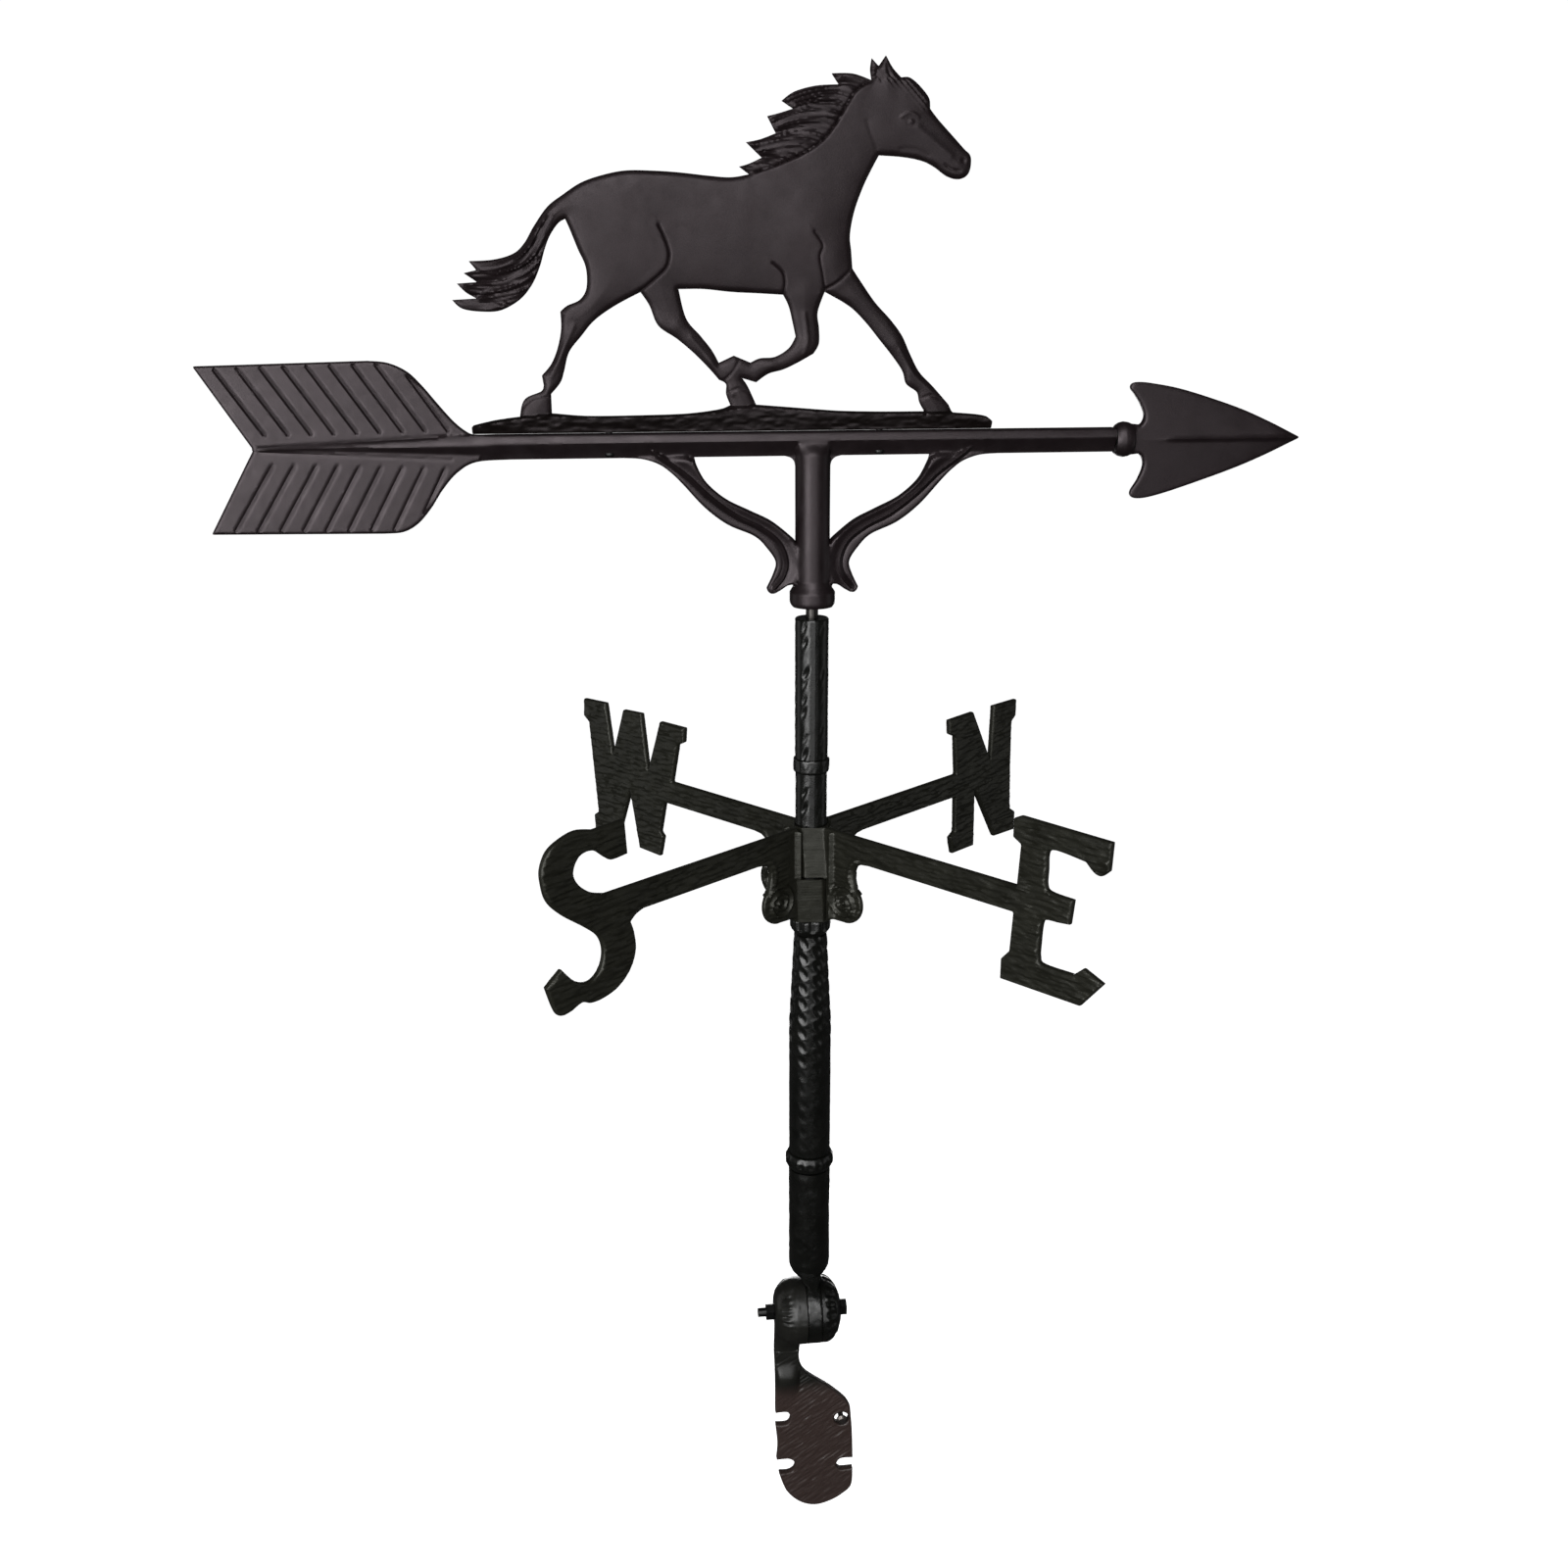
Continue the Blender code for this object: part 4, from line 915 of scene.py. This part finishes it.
def feather_height(x, z, d):
    """Two flat lobes with V-shaped grooves, steep on one side."""
    half = np.full(len(x), 2.9)
    for start, end in quill_lines():
        dx = end[0] - start[0]
        dz = end[1] - start[1]
        length = math.hypot(dx, dz)
        along = ((x - start[0]) * dx + (z - start[1]) * dz) / length
        across = ((x - start[0]) * dz - (z - start[1]) * dx) / length
        fade = ease(along, -2.0, 3.0) * ease(length - along, 0.0, 2.0) * (d > 2.0)
        half -= groove(across, np.where(across > 0.0, 0.9, 2.9), 1.30) * fade
    half += 0.18 * grain(x, z, 14, 11, 31) + 0.12 * grain(x, z, 4, 5, 32)
    return half * (0.2 + 0.8 * rounded(d, 2.4))


def rib_height(x, z):
    """The rib between the feathers, which widens into the shaft; also how tall it is."""
    swell = np.clip((x + 402.0) / 152.0, 0.0, 1.0)
    tall = 0.8 + 7.9 * swell
    level = z / tall
    slope = np.where(level > 0.15, 1.0 - 0.55 * (level - 0.15) ** 1.5, 1.0 - 0.80 * (0.15 - level))
    rib = (3.3 + 4.0 * swell) * slope * (np.abs(level) < 1.0)
    return np.where(x < -200, rib * (1.0 - ease(x, -240.0, -205.0)), 0.0), tall


def shaft_height(x, z):
    """The shaft, with its ridge a little above the middle."""
    span = (x > -266) & (np.abs(z) < 9.6)
    shaft = np.where(z > RIDGE, 7.4 - 2.6 * (np.abs(z - RIDGE) / 6.7) ** 1.5, 7.4 - 7.0 * (RIDGE - z) / 11.3)
    shaft = np.where(span, shaft * ease(x, -266.0, -232.0), 0.0) * rounded(9.25 - np.abs(z), 1.4)
    return shaft + np.where(span, 0.15 * grain(x, z, 16, 5, 33), 0.0)


def brace_height(x, z, d):
    """The curved braces: a thin ridge over a band that rises inwards, and climbs to the shaft's ridge."""
    below = (z < 2) & (x > -132) & (x < 132) & (z > -112)
    side = path_side(np.abs(x), z, brace_line(1.0))
    inner = np.clip(-side - 1.6, 0.0, 6.0)
    rail = 3.2 + bump(side, 1.3, 2.2) + 0.55 * inner - bump(side - 3.0, 1.0, 0.7)
    rail += 0.2 * grain(x, z, 9, 9, 34)
    near = ease(13.0 - np.abs(side), 0.0, 3.0)
    start = 1.0 + 6.5 * ease(np.abs(side), 0.3, 3.0)
    near *= ease(-z, start - 2.5, start + 4.5)
    return np.where(below, near * rail * (0.2 + 0.8 * rounded(d, 2.4)), 0.0)


def arrow_height(x, z, d):
    """Half thickness of the feathers, rib, shaft, braces and sleeve."""
    rib, rib_tall = rib_height(x, z)
    feathers = np.where(x < -243, feather_height(x, z, d), 0.0)
    feathers -= np.where((x < -262) & (x > -398), bump(np.abs(z) - rib_tall - 0.6, 0.8, 0.6), 0.0)
    half = soft_max(feathers, rib, 0.12)
    half = soft_max(half, shaft_height(x, z), 0.6)
    half = soft_max(half, brace_height(x, z, d), 0.5)
    sleeve_radius = np.interp(z, (-122, -120, -118, -111, -107, -105.5, -104, -103, -60, -9),
                              (15.8, 17.0, 17.3, 17.3, 14.9, 14.3, 13.8, 13.2, 13.0, 13.1))
    merge = ease(z, -9.0, 2.0)
    sleeve = barrel(x, sleeve_radius)
    sleeve = np.where(z < 2.0, sleeve * (1.0 - merge) + np.minimum(sleeve, 7.0) * merge, 0.0)
    return np.where(z < 2.0, soft_max(half, sleeve, 1.6 * (1.0 - merge) + 0.1), half)


def arrow():
    quills = [(line, (-2.9, -1.4, 0.0, 0.9)) for line in quill_lines()]
    bar = [(((-402, z), (-250, 9.0 * z)), (-0.5, 0.5)) for z in (-0.9, 0.9)]
    bar += [(((-398, 0), (-236, RIDGE), (228, RIDGE)), (0.0,))]
    bar += [(((-236, z), (228, z)), (0.0,)) for z in (-7.6, 7.6)]
    offsets = (-3.0, -1.6, -0.8, 0.0, 0.8, 1.6, 3.0)
    rails = [(brace_line(side), offsets) for side in (-1.0, 1.0)]
    sleeve = [(((side * 12.4, -12), (side * 12.4, -103)), (-0.4, 0.4)) for side in (-1.0, 1.0)]
    item = casting("arrow_casting", arrow_loops(), arrow_height, spacing=1.25, step=0.85,
                   layers=(0.1, 0.35, 0.8, 1.5, 2.4), tracks=quills + bar + rails + sleeve)
    drill(item, 8.8, -140.0, -109.7)
    drill(item, 5.2, -112.0, -20.0)
    return item


HEAD_TOP = (
    (249, 10.8), (251, 13), (252, 18), (248.5, 26), (244, 32.5), (240.5, 37), (241, 40.5), (246, 42),
    (258, 41), (283, 36), (323, 23.5), (350, 12.5), (375, 0.6),
)
HEAD_LOW = (
    (375, -0.6), (350, -12.5), (323, -23.5), (283, -37), (262, -43), (251, -44.5), (245.5, -43),
    (245, -38.5), (250, -30), (253.5, -20), (252, -13.5), (249, -10.8),
)


def head_height(x, z, d):
    """Half thickness of the arrow's head: two flanks, a thin spine and a round collar."""
    wide = np.interp(x, (239, 250, 257, 283, 323, 350, 374), (43, 43, 42, 37, 24, 13, 1.5))
    half = 1.9 + 2.6 * (1.0 - np.clip(np.abs(z) / wide, 0, 1)) + 0.25 * grain(x, z, 15, 12, 41)
    half = half * (0.2 + 0.8 * rounded(d, 2.4))
    spine = bump(z, 2.3, 5.1) * np.clip((376 - x) / 14.0, 0, 1) * ease(x, 242.0, 280.0)
    radius = np.interp(x, (230.3, 233, 236.5, 240, 243, 244.5, 246),
                       (10.6, 12.3, 13.2, 12.7, 11.3, 9.5, 0.0))
    collar = np.where(x < 246.0, 0.85 * barrel(z, radius), 0.0)
    return soft_max(soft_max(half, spine + 0.8, 1.2), collar, 1.0)


def head():
    top = open_curve(HEAD_TOP)
    low = open_curve(HEAD_LOW)
    collar = [(230.3, 10.6), (233, 12.3), (236.5, 13.2), (240, 12.7), (243, 11.4)]
    loop = [(x, -z) for x, z in collar] + list(reversed(low)) + list(reversed(collar + top))
    item = casting("arrow_head_casting", [soften(loop, 0.7)], head_height, spacing=1.15, step=0.8,
                   layers=(0.1, 0.35, 0.8, 1.5, 2.4), tracks=[(((245, 0), (372, 0)), (-1.2, 0.0, 1.2))])
    drill(item, 5.8, 225.0, 242.3, along="X")
    return item


# ---------------------------------------------------------------- the letters and their hub

def letter_side(letter, lower_boss):
    """Outline of one arm from the mast outwards and back, with web and scroll."""
    points = outline(LETTERS[letter])
    scroll = [(38.0 + 17.3 * math.cos(a), -47.0 + 17.3 * math.sin(a))
              for a in (math.radians(48 - 11 * i) for i in range(14))]
    points += [(62, -10.5), (54, -11.5), (49.5, -14), (47.3, -19), (47.2, -24), (48.6, -30)]
    points += scroll + [(26, -64.6), (21, -65.6), (WEB_INNER + 1.5, -68), (WEB_INNER, -69)]
    if lower_boss:
        return [(WEB_INNER, SPLIT - 1.0), (WEB_INNER, 10.5)] + points
    return points + [(WEB_INNER, SPLIT + 1.0)]


def spiral_relief(r, z):
    """Raised volute on the scroll at the foot of each web."""
    dx = np.abs(r) - 38.0
    dz = z + 47.0
    away = np.hypot(dx, dz)
    turn = (np.arctan2(dz, dx) - 0.6) % (2.0 * math.pi)
    relief = np.full(len(r), -0.6)
    for lap in range(3):
        arm = 15.4 - 1.0 * (turn + 2.0 * math.pi * lap)
        relief = np.maximum(relief, bump(away - arm, 1.25, 2.4) * (arm > 2.0) - 0.6)
    relief = np.maximum(relief, bump(away, 2.6, 2.6) - 0.6)
    edge = 1.0 - ease(away, 16.5, 18.5)
    ridge = path_distance(np.abs(r), z, ((58, -3), (49, -9), (43.5, -18), (43.5, -27), (49, -36)))
    return relief * edge + bump(ridge, 1.6, 1.2) * (1.0 - edge)


def letter_height(lower_boss, seed):
    """Half thickness of a pair of letters with their arms, webs and half of the hub."""
    def height(r, z, d):
        strokes = 1.5 * turned_grain(r, z, 3.0, 12.0, 1.7, seed)
        strokes += 0.7 * turned_grain(r, z, -5.0, 6.0, 1.0, seed + 1)
        out = np.abs(r)
        calm = np.where((out < 28.5) & (z < 10.0), 0.15, 1.0)
        half = 2.9 + strokes * calm * ease(d, 0.3, 2.0)
        half = half * (0.2 + 0.8 * rounded(d, 1.9))
        web = (np.abs(r) < 60) & (z < -6)
        half = half + np.where(web, spiral_relief(r, z) * rounded(d, 2.0), 0.0)
        boss_zone = (z < SPLIT) if lower_boss else (z > SPLIT)
        if lower_boss:
            flange = np.clip((21.8 - out) * 1.8, 0.0, 5.4) * ~boss_zone
            top = np.where(r < 0.0, 9.5, 3.0)
        else:
            flange = np.clip(np.minimum(27.2 - out, out - 21.0), 0.0, 2.6)
            top = np.where(r > 0.0, 9.5, 3.0)
        half = half + flange * ease(top - z, 0.0, 1.5) * (0.3 + 0.7 * rounded(d, 0.8))
        cut = LOWER_BOSS_CUT if lower_boss else UPPER_BOSS_CUT
        draft = np.where(lower_boss, 0.055 * (z + 69.0), -0.10 * (z + 10.0))
        boss = np.where(boss_zone, np.minimum(BOSS_DIAGONAL + draft - out, cut), 0.0)
        boss = boss + np.where(boss_zone & (np.abs(r) < 17.0), 0.35 * grain(r, z, 3, 5, seed + 3), 0.0)
        return np.maximum(half, boss)
    return height


def letters(name, right, left, lower_boss, angle, seed):
    first = letter_side(right, lower_boss)
    second = [(-r, z) for r, z in reversed(letter_side(left, lower_boss))]
    loop = first + second
    low, high = (-68.5, -32.0) if lower_boss else (-30.2, 10.0)
    corner = BOSS_DIAGONAL - (LOWER_BOSS_CUT if lower_boss else UPPER_BOSS_CUT)
    tracks = [(((r, low), (r, high)), (-0.3, 0.3)) for r in (-17.6, -corner, corner, 17.6)]
    edges = (18.9, 21.8) if lower_boss else (21.0, 24.3, 27.2)
    tracks += [(((side * r, -66.0), (side * r, 9.0)), (-0.35, 0.35)) for r in edges for side in (-1.0, 1.0)]
    item = casting(name, [soften(loop, 0.9)], letter_height(lower_boss, seed), spacing=1.1, step=0.85,
                   layers=(0.12, 0.4, 0.9, 1.6), tracks=tracks)
    drill(item, 13.0, -120.0, 60.0)
    return place(item, 0.0, MAST_Y, HUB_Z, angle)


# ---------------------------------------------------------------- the mast

def around_lane(angle, centre, radius):
    """Distance round the post from the line at this angle."""
    return ((angle - centre + math.pi) % (2.0 * math.pi) - math.pi) * radius


def hammered(angle, height, radius):
    """Slanting hammer nicks in six columns, and a casting seam on each side."""
    marks = 0.14 * grain(angle * radius, height, 5, 7, 51)
    for lane in range(6):
        across = around_lane(angle, math.radians(-120.0 + 60.0 * lane), radius)
        across = across + 1.6 * grain(height, height, 13.0, 13.0, 65 + lane)
        shifted = height + 3.1 * lane
        phase = shifted % 11.0 - 5.5
        count = np.floor(shifted / 11.0)
        lane_of = np.full(len(angle), lane)
        depth = np.clip(0.75 + 1.5 * hashed(count, lane_of, 57), 0.0, 1.4)
        phase = phase + 3.0 * hashed(count, lane_of, 68)
        across = across + 1.6 * hashed(count, lane_of, 69)
        side = 0.93 * across - 0.37 * phase
        along = 0.37 * across + 0.93 * phase
        marks -= (1.4 if lane == 0 else 0.5) * depth * np.exp(-(side / 1.4) ** 2 - (along / 4.2) ** 2)
    for place_of in (-88.0, 92.0):
        across = around_lane(angle, math.radians(place_of), radius)
        marks += 0.30 * np.exp(-(across / 0.55) ** 2)
    return np.minimum(marks, 0.25)


def dimpled(angle, height, radius):
    """Columns of round dimples with raised lips, which fade out low on the post."""
    marks = 0.22 * grain(angle * radius, height, 2.5, 8, 52)
    marks += 0.15 * grain(angle * radius, height, 1.5, 2.5, 58)
    strength = 0.25 + 0.75 * ease(height, -520.0, -480.0)
    for lane in range(8):
        across = around_lane(angle, math.radians(-120.0 + 45.0 * lane), radius)
        shifted = height + (6.5 if lane % 2 else 0.0)
        phase = shifted % 13.0 - 6.5
        count = np.floor(shifted / 13.0)
        depth = 1.2 + 0.8 * hashed(count, np.full(len(angle), lane), 59)
        away = np.hypot((across + 0.3 * phase) / 3.0, phase / 4.2)
        marks += strength * (0.4 * np.exp(-((away - 1.4) * 2.4) ** 2) - depth * np.exp(-(away * 1.1) ** 2))
    return marks


def pitted(angle, height, radius):
    return 0.45 * grain(angle * radius, height, 7, 9, 53) + 0.45 * grain(angle * radius, height, 2.5, 4, 54)


def knobbly(angle, height, radius):
    """Beads round the middle of the coupling ring."""
    beads = 0.7 * np.sin(angle * 16.0) * np.exp(-((height + 598.0) / 4.0) ** 2)
    return beads + 0.25 * grain(angle * radius, height, 3, 3, 55)


def crowned(angle, height, radius):
    """Shallow upright flutes round the upper part of a ferrule."""
    flutes = 0.80 * np.tanh(3.0 * np.sin(angle * 9.0)) * ease(height, -386.5, -384.5)
    return flutes + 0.2 * grain(angle * radius, height, 3, 4, 56)


def ring_profile(radius, start, end, edge):
    """A plain band with rounded edges."""
    rise = ((radius - edge, 0), (radius - edge * 0.3, edge * 0.3), (radius, edge))
    lower = tuple((r, start + h) for r, h in rise)
    upper = tuple((r, end - h) for r, h in reversed(rise))
    return ((0, start), *lower, *upper, (0, end))


# ---------------------------------------------------------------- the swivel and roof plate

def plate_height(x, z, d):
    strokes = 0.75 * turned_grain(x, z, 35.0, 11.0, 1.5, 61) + 0.5 * turned_grain(x, z, 40.0, 6.0, 1.0, 62)
    half = (3.7 + strokes * ease(d, 0.3, 2.0)) * (0.4 + 0.6 * rounded(d, 1.3))
    across = (x + 19.6) / 12.0
    deep = 3.9 + 5.4 * ease(-z, 800.0, 816.0) - 6.0 * ease(-z, 816.0, 846.0) + 6.6 * ease(z, -792.0, -763.0)
    neck = np.where(z > -845, deep * np.sqrt(np.clip(1.0 - np.abs(across) ** 2.6, 0.0, 1.0)), 0.0)
    neck = np.where((x < -7.0) | (z < -800), neck, 0.0) * (0.3 + 0.7 * rounded(d, 3.0))
    radius = np.interp(x, (-30.4, -29, -26, -20, -13, -4.2), (13.5, 18.0, 22.0, 26.3, 28.7, 29.0))
    angle = np.arcsin(np.clip((z + 750.0) / radius, -1, 1))
    ragged = 1.0 + 0.8 * grain(x, z, 4.0, 3.0, 66)
    teeth = 0.9 * ragged * np.sin(angle * 30.0) * np.exp(-((x + 22.0) / 4.0) ** 2) * ease(z, -752.0, -744.0)
    skin = 0.35 * grain(x, z, 3.0, 3.0, 67)
    ear = barrel(z + 750.0, radius + teeth + skin) * ((z > -780) & (x < -4.0))
    return soft_max(soft_max(half * (z < -790), neck, 0.8), ear, 1.2)


def plate_loops():
    plate = outline(PLATE)
    ear = [(-31, -785), (-30.4, -765), (-30.4, -737), (-28, -730), (-23, -725), (-16, -721.7), (-4.2, -721),
           (-4.2, -779), (-7.5, -782)]
    turns = [2 * math.pi * i / 48 for i in range(48)]
    hole = [(30 + 6.5 * math.cos(a), -866 + 6.5 * math.sin(a)) for a in turns]
    return [soften(plate + ear, 0.8), hole]


def add_vane():
    tint = (1.0, 0.88, 0.93)
    dark = (0.0055, 0.0034, 0.0038)
    # Below these heights the horse's coat takes a darker colour on the strip of ground under the hooves:
    # painted shade for that strip's unlit, downward-tilted face.
    ground = ((0.0024, 0.0014, 0.0010), ARROW_Z + 0.0225, ARROW_Z + 0.0265)
    coat = coating("vane_coat", dark, (0.0090, 0.0058, 0.0066), 0.40, shine=0.515, tint=tint)
    horse_coat = coating("horse_coat", dark, (0.0090, 0.0058, 0.0064), 0.42, shine=0.335, tint=tint,
                         zone=ground)
    finish_piece(hang(lengthen(horse(), -300.0, 1.004)), horse_coat, "vane", "vane_coat", "horse_ornament")
    finish_piece(hang(lengthen(arrow(), 0.0, 1.002)), coat, "vane", "vane_coat", "arrow_body")
    finish_piece(hang(lengthen(head(), 0.0, 1.002)), coat, "vane", "vane_coat", "arrow_head")


def add_directionals():
    coat = coating("letter_coat", (0.0080, 0.0080, 0.0057), (0.0145, 0.0145, 0.0106), 0.37, shine=0.43,
                   worn=0.15, tint=(1.0, 1.0, 0.92), strokes=((60.0, 60.0, 700.0), 0.28))
    upper = letters("east_west_casting", "east", "west", False, NORTH_ANGLE - math.pi / 2.0, 71)
    finish_piece(upper, coat, "directionals", "letter_coat", "east_west_directional")
    lower = letters("north_south_casting", "north", "south", True, NORTH_ANGLE, 81)
    finish_piece(lower, coat, "directionals", "letter_coat", "north_south_directional")


def add_mast(coat):
    """Posts and bands: name, CAD node, profile, relief and the spacing of its rings."""
    upper = ((0, -242), (13.1, -242), (13.1, -132.0), (12.4, -131.1), (0, -131.1))
    middle = ((0, -391), (12.6, -391), (12.6, -254), (0, -254))
    lower = ((0, -589.8), (17.4, -589.8), (17.3, -468), (15.8, -443), (13.2, -391.3), (0, -391.3))
    foot = ((0, -715), (9.5, -714), (10.6, -712.5), (14.2, -708), (16.8, -703), (17.5, -697),
            (17.5, -606.3), (0, -606.3))
    flared = ((0, -390.7), (13.0, -390.7), (13.6, -389.6), (15.8, -386.5), (16.0, -385), (16.0, -377.9),
              (15.2, -376.9), (0, -376.9))
    for name, node, profile, relief, step in (
            ("upper_post_skin", "upper_post", upper, hammered, 1.1),
            ("middle_post_skin", "middle_post", middle, hammered, 1.1),
            ("lower_post_skin", "lower_post", lower, dimpled, 1.1),
            ("foot_post_skin", "mast_foot", foot, pitted, 1.1),
            ("upper_ferrule_skin", "upper_ferrule", ring_profile(14.1, -253.7, -242.3, 1.4), pitted, 0.8),
            ("lower_ferrule_skin", "lower_ferrule", flared, crowned, 0.8),
            ("coupling_ring_skin", "coupling_ring", ring_profile(20.0, -605.7, -590.0, 5.0), knobbly, 0.8)):
        item = turned_skin(name, profile, relief=relief, step=step)
        finish_piece(place(item, 0, MAST_Y, ARROW_Z), coat, "mast", "mast_coat", node)


def add_swivel(coat):
    """Leaf under the mast, its neck, and the domed cap, bored for the bolt."""
    flat = ((0, -3.9), (28.0, -3.9), (28.9, -3.0), (28.9, 8.0), (28.2, 9.0), (0, 9.0))
    leaf = turned_skin("swivel_leaf", flat, 144, relief=pitted, along="X")
    drill(leaf, BOLT_BORE, -6.0, 11.0, along="X")
    finish_piece(place(leaf, 0, MAST_Y, BOLT_Z), coat, "mast", "mast_coat")
    finish_piece(place(swivel_neck(), 0, MAST_Y, ARROW_Z), coat, "mast", "mast_coat")
    dome = ((0, 9.3), (28.6, 9.3), (28.6, 13.5), (27.6, 16.5), (25.5, 19.5), (20.5, 24.0), (12.5, 26.9),
            (0, 26.9))
    cap = turned_skin("clutch_cap_skin", dome, 144, relief=cap_teeth, along="X")
    drill(cap, BOLT_BORE, 7.0, 30.0, along="X")
    finish_piece(place(cap, 0, MAST_Y, BOLT_Z), coat, "mast", "mast_coat", "clutch_cap")


def add_bracket():
    plate_colour = ((0.036, 0.0240, 0.0212), ARROW_Z - 0.836, ARROW_Z - 0.822)
    coat = coating("bracket_coat", (0.0060, 0.0060, 0.0050), (0.0120, 0.0120, 0.0100), 0.36,
                   zone=plate_colour)
    plate = casting("roof_bracket_casting", plate_loops(), plate_height, spacing=0.85, step=0.7,
                    layers=(0.1, 0.35, 0.8, 1.5))
    place(plate, 0.0, 0.0, BOLT_DROP)
    drill(plate, BOLT_BORE, -40.0, 0.0, along="X")
    finish_piece(place(plate, 0, MAST_Y, BOLT_Z), coat, "bracket", "bracket_coat", "roof_bracket")


def dress_hardware():
    """Materials for the CAD pieces that keep their own shape."""
    steel = bare_metal("steel", (0.20, 0.18, 0.17), 0.36)
    dull = bare_metal("dull_steel", (0.085, 0.080, 0.076), 0.34)
    black = bare_metal("blackened_steel", (0.045, 0.045, 0.045), 0.38)
    nylon = plastic("nylon", (0.60, 0.58, 0.52))
    for material, names in (
            (dull, ("spindle", "pivot_ball")),
            (nylon, ("sleeve_bush",)),
            (steel, ("plate_screw",)),
            (black, ("swivel_bolt", "swivel_nut", "set_screw_upper", "set_screw_lower")),
            (black, ("ornament_screw_rear", "ornament_screw_front"))):
        for name in names:
            dress(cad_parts[name], material)


def cap_teeth(angle, height, radius):
    """Clutch teeth on the cap's shoulder."""
    zone = ease(height, 12.5, 14.5) * (1.0 - ease(height, 20.5, 22.5))
    teeth = 0.9 * np.tanh(3.0 * np.sin(angle * 20.0)) - 0.4
    return zone * teeth + 0.25 * grain(angle * radius, height, 4, 4, 63)


def swivel_neck():
    """Neck between the foot of the mast and the leaf of the swivel."""
    loop = [(-9.7, -704), (-9.2, -711), (-7.4, -716.5), (-4.8, -719.8), (-3.9, -721.5), (-3.9, -748),
            (9.0, -748), (9.0, -721), (9.3, -718), (10.0, -713), (10.2, -704)]

    def height(x, z, d):
        return (12.5 + 0.3 * grain(x, z, 4, 5, 64)) * (0.3 + 0.7 * rounded(d, 3.5))

    return casting("swivel_neck", [soften(refine(loop, 3.0), 1.0)], height, spacing=1.2, step=0.9)


# ---------------------------------------------------------------- floor, light and camera

def glowing(name):
    """Evenly bright pale paint for the floor and the backdrop."""
    material, _, _, shader = new_material(name)
    socket(shader, "Base Color", (0.86, 0.86, 0.86, 1.0))
    socket(shader, "Roughness", 0.9)
    socket(shader, "Specular IOR Level", 0.0)
    socket(shader, "Emission Color", (1.0, 1.0, 1.0, 1.0))
    socket(shader, "Emission Strength", 1.0)
    return material


def studio():
    bpy.ops.mesh.primitive_plane_add(size=60.0, location=(0.0, 0.0, -1.1))
    floor = bpy.context.object
    bpy.ops.mesh.primitive_uv_sphere_add(segments=48, ring_count=24, radius=28.0, location=(0.0, 0.0, 0.5))
    dome = bpy.context.object
    for item, name in ((floor, "floor"), (dome, "backdrop")):
        item.name = name
        dress(item, glowing(name + "_paint"))
        item.visible_diffuse = False
        item.visible_glossy = False
        item.visible_shadow = False
    world = bpy.data.worlds.new("studio")
    bpy.context.scene.world = world
    world.use_nodes = True
    socket(world.node_tree.nodes["Background"], "Color", (1.0, 1.0, 1.0, 1.0))
    socket(world.node_tree.nodes["Background"], "Strength", 0.03)
    for light in LIGHTS:
        softbox(*light)


def softbox(name, where, aim, wide, tall, power):
    data = bpy.data.lights.new(name, "AREA")
    data.shape = "RECTANGLE"
    data.size = wide
    data.size_y = tall
    data.energy = power
    light = bpy.data.objects.new(name, data)
    bpy.context.scene.collection.objects.link(light)
    light.location = where
    direction = Vector((0.0, 0.0, aim)) - Vector(where)
    light.rotation_euler = direction.to_track_quat("-Z", "Y").to_euler()


def camera():
    data = bpy.data.cameras.new("camera")
    data.lens = LENS
    data.sensor_width = 36.0
    data.clip_end = 100.0
    item = bpy.data.objects.new("camera", data)
    bpy.context.scene.collection.objects.link(item)
    turn = math.radians(BEARING)
    item.location = (ASIDE * math.cos(turn) + AWAY * math.sin(turn),
                     MAST_Y + ASIDE * math.sin(turn) - AWAY * math.cos(turn), HUB_Z + RISE)
    level = Matrix.Rotation(turn, 4, "Z") @ Matrix.Rotation(math.radians(90.0 - PITCH), 4, "X")
    item.rotation_euler = (level @ Matrix.Rotation(math.radians(ROLL), 4, "Z")).to_euler()
    bpy.context.scene.camera = item


add_vane()
add_directionals()
mast_coat = coating("mast_coat", (0.0018, 0.0020, 0.0015), (0.0042, 0.0044, 0.0036), 0.26, shine=0.60)
add_mast(mast_coat)
add_swivel(mast_coat)
add_bracket()
dress_hardware()
studio()
camera()
bpy.context.scene.view_settings.view_transform = "Standard"
